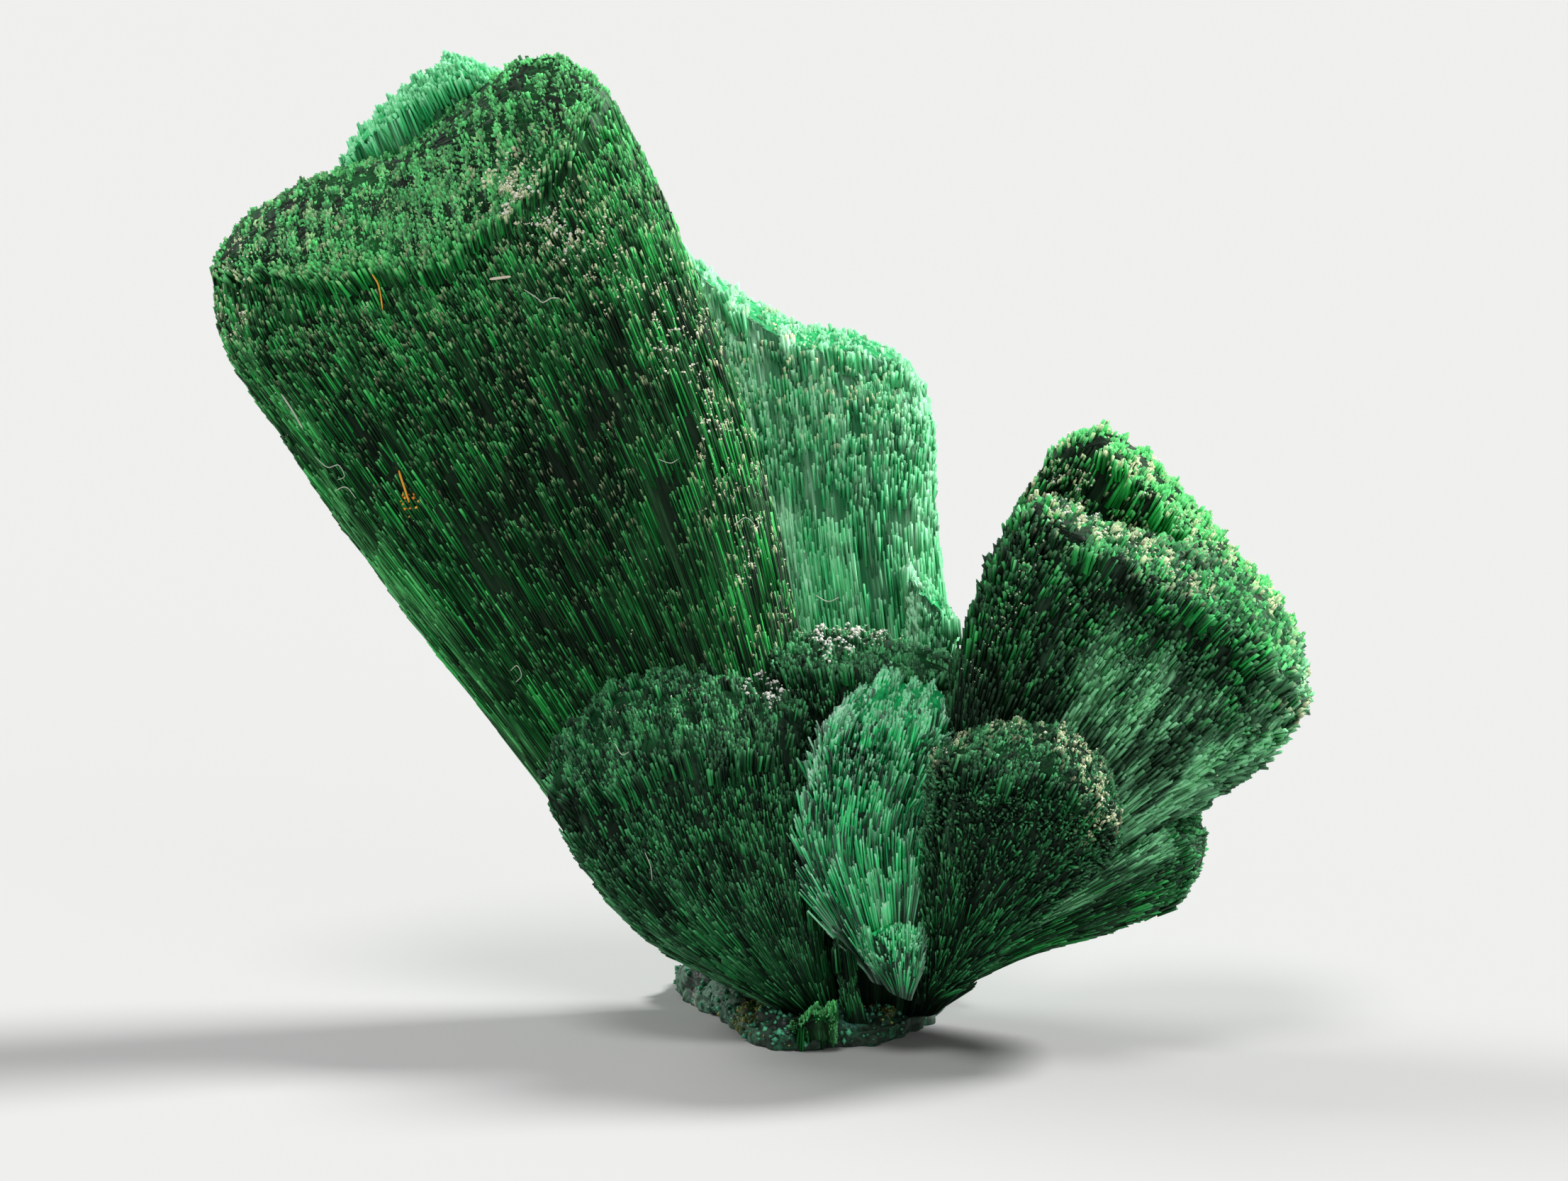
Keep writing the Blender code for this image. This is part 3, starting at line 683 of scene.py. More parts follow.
def face_needles(
    sheaf, count, rng, pale, width=0.2, length=(3.0, 11.0), proud=0.18, members=(3, 9), fray=0.0, lean=0.04,
    hidden=nowhere, depth_of_green=no_painted_shade,
):
    """Bundles along the skin. A member ends at its bundle's share of the height, less a random bit, and starts
    its bundle's length below. Its base lies in the core and its tip stands out of the core by the bundle's
    lift times a dome: one less 0.7 times the square of how far from the middle member it is."""
    middle, share = bundle_places(sheaf, count, hidden, rng)
    count = len(share)
    bundle, number, size = bundle_members(count, *members, rng)
    long = rng.uniform(*length, count) * (1.1 - 0.9 * smooth_step(0.28, 0.84, share))
    lift = proud * rng.uniform(0, 1, count) ** 1.4 * (0.7 + 0.6 * smooth_step(0.5, 0.9, share))
    tone = rng.uniform(0, 1, count)
    frayed = rng.uniform(0, 1, count) < fray
    lift = np.where(frayed, lift + rng.uniform(0.3, 0.9, count), lift)

    thick = width * rng.uniform(0.75, 1.25, len(bundle)) * (0.6 + 0.4 * share[bundle])
    offset = number - (size - 1) / 2
    girth = sheaf.girth * (sheaf.half_size(share)[:, 0] / sheaf.half_sizes[0])
    around = middle[bundle] + offset * width * FACE_PACKING / girth[bundle]
    across, depth = sheaf.rim(around)
    top = sheaf.top(across, depth)
    scale = np.linalg.norm(sheaf.along(across, depth, share[bundle] * top), axis=-1)
    broken = np.where(rng.uniform(0, 1, len(bundle)) < 0.25, rng.uniform(0.2, 1.2, len(bundle)), 0)
    uneven = 0.15 + 1.1 * (1 - share[bundle])
    end = share[bundle] * top - (np.abs(rng.normal(0, 1, len(bundle))) * uneven + broken) / scale
    start = end - long[bundle] / scale
    keep = start > 0.004
    bundle, across, depth, around, thick = bundle[keep], across[keep], depth[keep], around[keep], thick[keep]
    start, end, size, offset = start[keep], end[keep], size[keep], offset[keep]

    dome = 1 - 0.7 * (2 * np.abs(offset) / size) ** 2
    height_out = lift[bundle] * dome + rng.uniform(-0.1, 0.06, len(bundle))
    out_low, out_high = sheaf.outward(around, start), sheaf.outward(around, end)
    base = sheaf.place(across, depth, start) - out_low * (CORE_DEPTH + GROOVE_DEPTH)
    tip = sheaf.place(across, depth, end) - out_high * (CORE_DEPTH - height_out)[:, None]
    tip += rng.normal(0, lean, tip.shape)
    share_here = end / sheaf.top(across, depth)
    # Painted shade: the tone is scaled down where the sheaf's face lies in shade.
    own_tone = 0.4 * tone[bundle] + 0.6 * rng.uniform(0, 1, len(bundle))
    return needle_mesh(
        base,
        tip,
        out_high,
        thick,
        own_tone * depth_of_green(across, depth, share_here),
        pale(across, depth, share_here),
        sheaf.strand(across, depth, start),
        sheaf.strand(across, depth, end),
        rng,
    )


print("members of a bundle stand", FACE_PACKING, "needle widths apart")

# %% [markdown]
# ## Needles on the crest
# The crest is where the needles are seen end on, a rough field of small broken tips in clumps. They could all
# end on one smooth surface, but then the crest would look mown. So the sheaf's top is lower between clumps,
# each bundle ends a random bit below it, and the members of a bundle stand on a spiral as seeds do in a
# flower. On a steep crest more bundles are needed to cover the same width, and the slope gives how many more.

# %% Needles on the crest
GOLDEN_ANGLE = 2.4
SPIRAL_STEP = 0.62
CREST_TRIES = 4
CREST_FACING = (0.15, -1.0, 0.1)
SLOPE_STEP = 0.02
STEEPEST = 3
CREST_EDGE = 0.985


def crest_slope(sheaf, across, depth, step_across, step_depth):
    """Rise of the crest from one step before a place to one step past it, for each unit of the step."""
    past = sheaf.top(across + step_across, depth + step_depth)
    before = sheaf.top(across - step_across, depth - step_depth)
    return (past - before) / (2 * (step_across + step_depth))


def crest_bundle_places(sheaf, count, rng):
    """Places picked with a chance that is the slanted length of the crest there: the root of one plus the
    square of its slope. So the bundles stand equally close on its surface."""
    across, depth = sheaf.rim(rng.uniform(0, 1, CREST_TRIES * count))
    inner = np.sqrt(rng.uniform(0, 1, CREST_TRIES * count)) * 0.97
    wide, thick = sheaf.half_size(np.array(1.0))
    slope_across = crest_slope(sheaf, across * inner, depth * inner, SLOPE_STEP, 0) / wide
    slope_depth = crest_slope(sheaf, across * inner, depth * inner, 0, SLOPE_STEP) / thick
    steep = np.hypot(slope_across, slope_depth) * sheaf.reach
    chance = np.sqrt(1 + np.clip(steep, 0, STEEPEST) ** 2)
    picked = rng.choice(CREST_TRIES * count, count, replace=False, p=chance / chance.sum())
    return across[picked], depth[picked], inner[picked]


def crest_needles(
    sheaf, count, rng, pale, width, length=(1.6, 3.0), drop=1.0, members=(4, 10), crest_light=0.2
):
    """Bundles that end on the crest. Members stand at the golden angle times their number, at a distance that
    grows with its square root, and end at the sheaf's top less the drop of their bundle and one of their own.
    Near the rim they are shorter and root further in, so that they don't stick out of the faces."""
    bundle, number, _ = bundle_members(count, *members, rng)
    middle_across, middle_depth, inner = crest_bundle_places(sheaf, count, rng)
    bundle_drop = 0.55 * drop * rng.uniform(0, 1, count) ** 1.2
    tone = rng.uniform(0, 1, count)
    wide, thick = sheaf.half_size(np.array(1.0))
    spiral = width * SPIRAL_STEP * np.sqrt(number)
    across = (middle_across * inner)[bundle] + spiral * np.cos(GOLDEN_ANGLE * number) / wide
    depth = (middle_depth * inner)[bundle] + spiral * np.sin(GOLDEN_ANGLE * number) / thick
    across, depth = (np.clip(place, -CREST_EDGE, CREST_EDGE) for place in (across, depth))
    end = sheaf.top(across, depth)
    scale = np.linalg.norm(sheaf.along(across, depth, NEAR_CREST), axis=-1)
    end = end - (bundle_drop[bundle] + rng.uniform(0, 0.3, len(bundle)) + 0.06 * number * width) / scale
    at_rim = smooth_step(0.8, 0.97, inner)[bundle]
    start = end - rng.uniform(*length, len(bundle)) * (1 - 0.45 * at_rim) / scale
    root = 1 - 0.07 * at_rim
    base, tip = sheaf.place(across * root, depth * root, start), sheaf.place(across, depth, end)
    thick = width * rng.uniform(0.75, 1.3, len(bundle))
    own_tone = 0.45 * tone[bundle] + 0.55 * rng.uniform(0, 1, len(bundle))
    # Painted light: the crest's ends get a raised least tone, lighter where light falls on the crest.
    return needle_mesh(
        base,
        tip,
        np.broadcast_to(CREST_FACING, base.shape),
        thick,
        crest_light + (1 - crest_light) * own_tone,
        pale(across, depth, np.ones(len(bundle))),
        sheaf.strand(across, depth, start),
        sheaf.strand(across, depth, end),
        rng,
    )


print("slope of the right crest's middle:", round(float(crest_slope(right_front, 0.0, 0.0, SLOPE_STEP, 0)), 3))

# %% [markdown]
# ## Helpers for materials
# A material is a small network of nodes. Each node could be placed by hand in the Shader Editor, but a network
# of some forty nodes is easier to read as sums. So a few helpers each add one node, set it, and give back its
# output, and a colour is then written line by line.

# %% Node helpers
def new_group(name, inputs, outputs):
    """Empty node group with the given sockets, and its input and output nodes."""
    group = bpy.data.node_groups.new(name, "ShaderNodeTree")
    for label, kind, value in inputs:
        socket = group.interface.new_socket(label, in_out="INPUT", socket_type=kind)
        socket.default_value = value
    for label, kind in outputs:
        group.interface.new_socket(label, in_out="OUTPUT", socket_type=kind)
    return group, group.nodes.new("NodeGroupInput"), group.nodes.new("NodeGroupOutput")


def node(tree, kind, **settings):
    """One new node of this kind, with its settings."""
    made = tree.nodes.new(kind)
    for key, value in settings.items():
        setattr(made, key, value)
    return made


def feed(tree, socket, value):
    """Sets the socket to a number or a colour, or links it to another node's output."""
    if isinstance(value, (int, float, tuple)):
        socket.default_value = value
    else:
        tree.links.new(value, socket)


def calculate(tree, operation, first, second=0.0, third=0.0, clamp=False):
    """Maths node: first and second added, subtracted or multiplied, and for MULTIPLY_ADD third added to it."""
    made = node(tree, "ShaderNodeMath", operation=operation, use_clamp=clamp)
    for socket, value in zip(made.inputs, (first, second, third)):
        feed(tree, socket, value)
    return made.outputs[0]


def mix_colour(tree, factor, first, second):
    """First times one less the factor, plus second times the factor. Sockets 6, 7 and 2 are the colour ones."""
    made = node(tree, "ShaderNodeMix", data_type="RGBA")
    for socket, value in ((made.inputs[0], factor), (made.inputs[6], first), (made.inputs[7], second)):
        feed(tree, socket, value)
    return made.outputs[2]


def between(tree, value, low, high):
    """Value less low, over high less low, held between 0 and 1."""
    made = node(tree, "ShaderNodeMapRange", clamp=True)
    feed(tree, made.inputs["Value"], value)
    made.inputs["From Min"].default_value = low
    made.inputs["From Max"].default_value = high
    return made.outputs["Result"]


def noise(tree, vector, scale, detail=2.0, stretch=(1, 1, 1)):
    """Noise on the vector after it is scaled by stretch in each direction."""
    mapping = node(tree, "ShaderNodeMapping", vector_type="POINT")
    mapping.inputs["Scale"].default_value = stretch
    feed(tree, mapping.inputs["Vector"], vector)
    made = node(tree, "ShaderNodeTexNoise")
    made.inputs["Scale"].default_value = scale
    made.inputs["Detail"].default_value = detail
    feed(tree, made.inputs["Vector"], mapping.outputs["Vector"])
    return made.outputs["Fac"]


def attribute(tree, name, output="Fac"):
    """The value stored under this name on the points, spread evenly over each face."""
    return node(tree, "ShaderNodeAttribute", attribute_name=name).outputs[output]


helpers = (new_group, node, feed, calculate, mix_colour, between, noise, attribute)
print("node helpers:", ", ".join(helper.__name__ for helper in helpers))

# %% [markdown]
# ## The green of the needles
# Dark needles are a deep bluish green that turns mint where they are thin, broken or bruised, and dust lies on
# their ends. One node group works out that colour. It adds tone to three noises, two of them stretched along
# the strand, so that the streaks run along the needles as they do in the stone, and the sum picks a green from
# dark to bright. Mint comes over it in three ways: as pale patches, partly painted light where light falls on a
# face, on the last half millimetre of a needle, partly a painted highlight on the ends that catch the light,
# and as bright dashes below its end. An image could hold such streaks too, but it would blur from close by.

# %% Needle colour group
TONE_WEIGHT = 1.9
NOISE_WEIGHT = 0.9
SHADE_START = 2.05
TIP_LENGTH = 0.45
DASH_LENGTH = 2.5

needle_colour, given, result = new_group(
    "needle_colour",
    (
        ("Dark", "NodeSocketColor", (0.002, 0.025, 0.008, 1)),
        ("Green", "NodeSocketColor", (0.010, 0.160, 0.045, 1)),
        ("Bright", "NodeSocketColor", (0.050, 0.420, 0.150, 1)),
        ("Mint", "NodeSocketColor", (0.300, 0.680, 0.420, 1)),
        ("Dust", "NodeSocketColor", (0.720, 0.780, 0.460, 1)),
        ("Tip Mint", "NodeSocketFloat", 0.5),
        ("Lightness", "NodeSocketFloat", 0.0),
    ),
    (("Color", "NodeSocketColor"), ("Roughness", "NodeSocketFloat"), ("Height", "NodeSocketFloat")),
)
strand = attribute(needle_colour, "strand", "Vector")
tone = attribute(needle_colour, "tone")
pale = attribute(needle_colour, "pale")
tip = attribute(needle_colour, "tip")
object_place = node(needle_colour, "ShaderNodeTexCoord").outputs["Object"]
fine = noise(needle_colour, strand, 4.5, 2.0, (1, 1, 0.06))
coarse = noise(needle_colour, strand, 0.9, 2.0, (1, 1, 0.16))
cloud = noise(needle_colour, object_place, 110, 2.0)
speckle = noise(needle_colour, object_place, 2600, 1.0)

shade = calculate(needle_colour, "MULTIPLY_ADD", tone, TONE_WEIGHT, given.outputs["Lightness"])
for pattern in (fine, coarse, cloud):
    shade = calculate(needle_colour, "MULTIPLY_ADD", pattern, NOISE_WEIGHT, shade)
shade = calculate(needle_colour, "SUBTRACT", shade, SHADE_START)
low_half, high_half = between(needle_colour, shade, 0.0, 0.5), between(needle_colour, shade, 0.5, 1.0)
green = mix_colour(needle_colour, low_half, given.outputs["Dark"], given.outputs["Green"])
green = mix_colour(needle_colour, high_half, green, given.outputs["Bright"])

streak = between(needle_colour, fine, 0.42, 0.66)
patch = between(needle_colour, coarse, 0.45, 0.6)
streaked = calculate(needle_colour, "MULTIPLY_ADD", streak, 0.9, 0.25)
patchy = calculate(needle_colour, "MULTIPLY_ADD", patch, 1.1, 0.2)
# Partly painted light: the pale value holds the fibres' own mint and light painted on lit faces.
bruise_and_painted_light = calculate(needle_colour, "MULTIPLY", pale, calculate(needle_colour, "MULTIPLY", streaked, patchy))
# Partly painted highlight: the last half millimetre turns mint, as broken ends do, and for the light the ends
# catch.
broken = between(needle_colour, tip, -TIP_LENGTH, 0.0)
broken = calculate(needle_colour, "MULTIPLY", broken, given.outputs["Tip Mint"])
broken = calculate(needle_colour, "MULTIPLY", broken, between(needle_colour, tone, 0.15, 1.0))
dash = between(needle_colour, calculate(needle_colour, "MULTIPLY_ADD", fine, 0.8, tone), 1.38, 1.5)
dash = calculate(needle_colour, "MULTIPLY", dash, between(needle_colour, tip, -DASH_LENGTH, -0.3))
mint = calculate(needle_colour, "ADD", bruise_and_painted_light, broken)
mint = calculate(needle_colour, "MULTIPLY_ADD", dash, 0.5, mint, clamp=True)
clean = mix_colour(needle_colour, mint, green, given.outputs["Mint"])
near_end = between(needle_colour, tip, -TIP_LENGTH, -0.1)
settled = calculate(needle_colour, "MULTIPLY", attribute(needle_colour, "dust"), near_end)
dusty = mix_colour(needle_colour, settled, clean, given.outputs["Dust"])
roughness = calculate(needle_colour, "MULTIPLY_ADD", speckle, 0.4, 0.35)
relief = calculate(needle_colour, "ADD", fine, speckle)
for made, label in ((dusty, "Color"), (roughness, "Roughness"), (relief, "Height")):
    needle_colour.links.new(made, result.inputs[label])
print("needle colour group:", len(needle_colour.nodes), "nodes")

# %% [markdown]
# ## Five kinds of needle
# The same mineral looks different from sheaf to sheaf. In most of them needles stay nearly black between
# bright ones. Those at the back are light all over, partly as painted back light, some are streaked with mint,
# and the fan is the brightest. The deep greens of the front sheaves are partly painted shade. Each kind gives
# the group its own four greens, from the gaps to the mint, and how far its tips turn mint. The needles reflect
# little, because a broad highlight over so many facets would turn the green grey.

# %% Needle materials
NEEDLE_SPECULAR = 0.15
NEEDLE_BUMP = 0.04


def needle_material(name, dark, green, bright, mint, tip_mint, lightness):
    """Principled shader with the colour and roughness of the group, and its height as a bump."""
    material = bpy.data.materials.new(name)
    material.use_nodes = True
    tree = material.node_tree
    shader = tree.nodes["Principled BSDF"]
    colour = node(tree, "ShaderNodeGroup")
    colour.node_tree = needle_colour
    for label, value in (("Dark", dark), ("Green", green), ("Bright", bright), ("Mint", mint)):
        colour.inputs[label].default_value = (*value, 1)
    colour.inputs["Tip Mint"].default_value = tip_mint
    colour.inputs["Lightness"].default_value = lightness
    bump = node(tree, "ShaderNodeBump")
    bump.inputs["Strength"].default_value = 0.6
    bump.inputs["Distance"].default_value = NEEDLE_BUMP * MM
    tree.links.new(colour.outputs["Height"], bump.inputs["Height"])
    tree.links.new(colour.outputs["Color"], shader.inputs["Base Color"])
    tree.links.new(colour.outputs["Roughness"], shader.inputs["Roughness"])
    tree.links.new(bump.outputs["Normal"], shader.inputs["Normal"])
    shader.inputs["Specular IOR Level"].default_value = NEEDLE_SPECULAR
    print(name, "tips turn mint by", tip_mint)
    return material


dark_needles = needle_material(
    "dark_needles",
    (0.0004, 0.008, 0.002), (0.002, 0.115, 0.018), (0.024, 0.500, 0.085), (0.20, 0.84, 0.28), 0.8, 0.0,
)
# Partly painted shade: the front sheaves get deeper greens for the shade they stand in.
deep_and_shaded_needles = needle_material(
    "deep_and_shaded_needles",
    (0.0006, 0.009, 0.003), (0.003, 0.075, 0.018), (0.022, 0.290, 0.070), (0.22, 0.66, 0.32), 0.45, 0.05,
)
streaked_needles = needle_material(
    "streaked_needles",
    (0.0004, 0.008, 0.002), (0.002, 0.115, 0.019), (0.025, 0.500, 0.088), (0.31, 0.84, 0.43), 0.3, 0.0,
)
# Partly painted light: the sheaves at the back get lighter greens for the back light that falls on them.
pale_and_lit_needles = needle_material(
    "pale_and_lit_needles",
    (0.006, 0.140, 0.042), (0.016, 0.400, 0.115), (0.085, 0.700, 0.250), (0.46, 0.90, 0.58), 0.7, 0.35,
)
fan_needles = needle_material(
    "fan_needles",
    (0.0008, 0.022, 0.008), (0.008, 0.420, 0.115), (0.070, 0.880, 0.300), (0.60, 0.96, 0.74), 0.8, 0.25,
)

# %% [markdown]
# ## Where dust settles
# Pale dust has settled on the needle ends along some crests. It could be loose grains only, but most of it is
# a film on the ends themselves, so it is stored on each end as a value that the material reads. A dust line
# runs through a few places of the front view. Ends near the line are dusty in patches, which two crossing waves
# make, and less so where they stand far behind their neighbours.

# %% Dust on the ends
FRONT_CELL = 0.6
BEHIND_CLEAN = 4.0
BEHIND_DUSTY = 2.0


def band_distance(points, line):
    """Distance in the front view from each point to a line: to each of its stretches, the distance to the
    point's shadow on it, held between its two ends, and of these the least."""
    line = np.asarray(line, float)
    start, step = line[:-1], np.diff(line, axis=0)
    apart = points[:, None, (0, 2)] - start[None]
    share = np.clip((apart * step).sum(-1) / (step**2).sum(-1), 0, 1)
    return np.linalg.norm(apart - share[..., None] * step, axis=-1).min(axis=1)


def clusters(points):
    """0 to 1 in patches of one to three millimetres: the product of two crossing waves, plus a finer one."""
    x, z = points[:, 0], points[:, 2]
    waves = wave(x, z, 2.3, 1.1) * wave(x, z, -1.4, 1.9) + 0.6 * wave(x, z, 4.1, -3.3)
    return smooth_step(-0.5, 0.8, waves)


def behind_front(points):
    """A point's depth, less the least depth of the points in the same small square of the front view."""
    cell = np.round(points[:, (0, 2)] / FRONT_CELL).astype(int)
    _, cell = np.unique(cell, axis=0, return_inverse=True)
    cell = cell.ravel()
    front = np.full(cell.max() + 1, np.inf)
    np.minimum.at(front, cell, points[:, 1])
    return points[:, 1] - front[cell]


def dusting(points, dust_lines):
    """How dusty an end is: the line's strength times e to the minus square of the distance over the line's
    width, for the line that gives most, times the patches, and less where it stands behind its neighbours."""
    most = np.zeros(len(points))
    if not dust_lines:
        return most
    for line, width, strength in dust_lines:
        most = np.maximum(most, strength * np.exp(-((band_distance(points, line) / width) ** 2)))
    in_front = smooth_step(BEHIND_CLEAN, BEHIND_DUSTY, behind_front(points))
    return most * clusters(points) * (0.25 + 0.75 * in_front)


print("neighbours are ends in the same square of", FRONT_CELL, "mm")

# %% [markdown]
# ## Dressing the sheaves
# Each sheaf gets its core, the bundles along its faces and the bundles on its crest, and they are joined into
# one mesh, so that it stays one piece. Where the photograph shows a part of a sheaf turning pale, a short
# function gives how pale it is from the place across, through and along the sheaf. The needle ends are kept,
# because grains and lint will lie on them.

# %% Dress
USUAL_WIDTH = 0.22
CREST_THICKER = 1.2
RIDGES_FOR_A_ROW = 24
FEWEST_CREST_ROWS = 6
DUSTY_PART = 0.5
needle_ends = {}


def plain(across, depth, share):
    """The same faint mint at every place."""
    return 0 * (across + depth + share) + 0.06


def dress(
    name, replaced, sheaf, material, slot, seed, ridges, rows, faces, crest, pale=plain, split=False,
    dust_lines=(), **style,
):
    """Core, face bundles and crest bundles of one sheaf, in one piece, or split in two where there are many.
    A needle's end is the mean of its three end corners, and half of the ends take the dust of their place."""
    rng = np.random.default_rng(seed)
    crest_style = {key: style.pop(key) for key in ("drop", "crest_light") if key in style}
    crest_style["width"] = style.get("width", USUAL_WIDTH) * CREST_THICKER
    crest_rows = max(FEWEST_CREST_ROWS, ridges // RIDGES_FOR_A_ROW)
    inside = core(sheaf, ridges, rows, crest_rows, rng, pale)
    on_faces = face_needles(sheaf, faces, rng, pale, **style)
    on_crest = crest_needles(sheaf, crest, rng, pale, **crest_style)
    ends = [part[0].reshape(-1, 6, 3)[:, 3:].mean(axis=1) for part in (on_faces, on_crest)]
    needle_ends[name] = np.concatenate(ends)
    inside[2]["dust"] = np.zeros(len(inside[0]))
    for part, places in zip((on_faces, on_crest), ends):
        takes_dust = rng.uniform(0, 1, len(places)) < DUSTY_PART
        part[2]["dust"] = np.repeat(dusting(places, dust_lines) * takes_dust, 6)
    if split:
        add_piece(name + "_core", *joined([inside, on_crest]), material, slot, replaced)
        add_piece(name + "_fibres", *on_faces, material, slot, replaced)
    else:
        add_piece(name + "_needles", *joined([inside, on_faces, on_crest]), material, slot, replaced)


print("needles on a crest are", CREST_THICKER, "times as thick as on the faces")

# %% [markdown]
# ## The main sheaf
# The tallest sheaf leans left and ends in two crests, one behind the other, with a valley between them. It
# grew as one, but its front and rear blocks are dressed in turn, because their needles run in directions of
# their own. Faces that the two blocks turn to each other get no needles, since nobody can see them. The front
# is deep green with a painted shade over its middle and lower part, and painted light in its valley, right of
# its ridge and on top. The rear block is paler, partly as painted light.

# %% Main sheaf
def main_front_pale_and_lit(across, depth, share):
    """Mint in the valley behind the crest and at the lower left edge, partly painted light, and painted light
    alone faint right of the ridge and on top.
    """
    valley = 0.8 * smooth_step(0.25, 0.8, depth) * smooth_step(0.9, 1.0, share)
    edge = 0.7 * smooth_step(-0.7, -1.0, across) * smooth_step(1.0, 0.5, share)
    ridge_side = 0.12 * smooth_step(0.1, 0.8, across) * smooth_step(0.35, 0.8, share)
    crown = 0.1 * smooth_step(0.75, 1.0, share)
    return 0.04 + valley + edge + ridge_side + crown


def main_rear_pale_and_lit(across, depth, share):
    """Mint in the valley behind the front crest, and on the right end, partly own mint and partly painted
    light.
    """
    valley = smooth_step(0.99, 0.86, share) * smooth_step(0.3, -0.3, depth) * smooth_step(0.7, 0.4, across)
    return 0.2 + 0.7 * valley + 0.35 * smooth_step(0.55, 1.0, across)


def main_front_painted_shade(across, depth, share):
    """Painted shade: darker in the middle of the front face and low down, full on the left, on the ridge and
    near the crest.
    """
    middle = smooth_step(-0.7, -0.1, across) * smooth_step(0.75, 0.35, across) * smooth_step(0.95, 0.6, share)
    return 1 - 0.3 * middle * smooth_step(0.25, 0.5, share) - 0.15 * smooth_step(0.45, 0.2, share)


def behind_main_front(across, depth, share):
    """The back of the front block, which the rear block covers."""
    return (depth > 0.5) & (share < 0.8) & (across > -0.25)


def before_main_rear(across, depth, share):
    """The front of the rear block, which the front block covers."""
    return (depth < -0.2) & (share < 0.75) & (across < 0.7)


RIDGE = ((-20.7, 59.4), (-15.8, 55.0), (-11.4, 51.0), (-8.5, 43.5), (-6.0, 36.0), (-4.5, 29.4))
MAIN_DUST = (
    (RIDGE, 4.5, 0.9),
    (((-22.5, 60.0), (-18.0, 56.0)), 3.5, 1.0),
    (((-41.8, 56.2), (-42.7, 50.2)), 1.8, 0.9),
    (((-38.0, 56.0), (-14.0, 42.0)), 9.0, 0.35),
)
dress(
    "main_front", "main_sheaf", main_front, dark_needles, "malachite_dark", 11, 290, 44, 3800, 2150,
    pale=main_front_pale_and_lit, split=True, drop=0.8, hidden=behind_main_front, dust_lines=MAIN_DUST,
    depth_of_green=main_front_painted_shade, crest_light=0.12,
)
dress(
    "main_rear", "main_sheaf", main_rear, pale_and_lit_needles, "malachite_dark", 12, 190, 34, 1200, 420,
    pale=main_rear_pale_and_lit, drop=1.2, hidden=before_main_rear,
)


# %% [markdown]
# ## The rear sheaf
# Behind the main sheaf stands a paler one, whose needles are thicker and bruised to mint over most of its
# face, with painted back light over that mint. A small shard leans at its right foot. Both use the same pale
# function and the same light needles.

# %% Rear sheaf
def rear_pale_and_lit(across, depth, share):
    """Mint all over, most at the upper left and along the right edge, partly own mint and partly painted back
    light.
    """
    upper_left = 0.9 * smooth_step(0.2, -0.5, across) * smooth_step(0.5, 0.8, share)
    return 0.3 + upper_left + 0.15 * smooth_step(0.5, 1.0, share) + 0.2 * smooth_step(0.4, 1.0, across)


REAR_DUST = ((((-5.5, 48.5), (0.5, 44.0)), 3.4, 1.0),)
dress(
    "rear", "rear_sheaf", rear, pale_and_lit_needles, "malachite_pale", 21, 180, 34, 1500, 260,
    pale=rear_pale_and_lit, width=0.27, length=(2.5, 8.0), proud=0.24, dust_lines=REAR_DUST,
)
dress(
    "rear_shard", "rear_sheaf", rear_shard, pale_and_lit_needles, "malachite_pale", 22, 50, 12, 120, 30,
    pale=rear_pale_and_lit, length=(2.0, 5.0),
)

# %% [markdown]
# ## Sheaves on the left and in the middle
# In front of the main sheaf stand a short dark sheaf, a dark block in the notch, and the centre fan, which is
# frayed into thin bright fibres over a rounded cup. Frayed bundles stand a millimetre or so out of the skin,
# so the fan gets more lift, small bundles, and a share of them marked as frayed.

# %% Sheaves on the left and in the middle
def lower_left_pale(across, depth, share):
    """Pale lines along the lower left edge, dark elsewhere."""
    return 0.05 + 0.5 * smooth_step(-0.6, -0.95, across) * smooth_step(1.0, 0.6, share)


def notch_pale(across, depth, share):
    """A little mint towards the right edge."""
    return 0.05 + 0.25 * smooth_step(0.3, 0.9, across) + 0 * share


def fan_pale(across, depth, share):
    """Mint streaks all over, most along the left and right edges."""
    return 0.14 + 0.4 * smooth_step(0.5, 1.0, np.abs(across)) + 0.25 * smooth_step(0.5, 0.2, share)


dress(
    "lower_left", "lower_left_sheaf", lower_left, deep_and_shaded_needles, "malachite_dark", 41, 190, 30, 1450, 560,
    pale=lower_left_pale, width=0.19, length=(2.0, 7.0), drop=0.8, proud=0.14, crest_light=0.0,
)
dress(
    "notch", "notch_sheaf", notch, deep_and_shaded_needles, "malachite_dark", 31, 100, 22, 460, 300,
    pale=notch_pale, length=(2.5, 6.0),
)
dress(
    "fan", "centre_fan", fan, fan_needles, "malachite_pale", 52, 110, 26, 1050, 190,
    pale=fan_pale, width=0.2, length=(2.5, 8.0), proud=0.5, members=(2, 6), fray=0.3, drop=1.6,
)
dress(
    "fan_cup", "centre_fan", fan_cup, fan_needles, "malachite_pale", 51, 60, 12, 150, 40,
    pale=fan_pale, width=0.18, length=(1.5, 3.5),
)

# %% [markdown]
# ## Sheaves on the right
# The blocky sheaf on the right has coarse needles that stand well apart, with long mint streaks on its face,
# and a rough mound behind its crest. In front of it bulges a dark lobe, whose needles are short and lean a
# little every way, and below it a low sheaf points right. The right sheaf has two blocks, as the main one has.

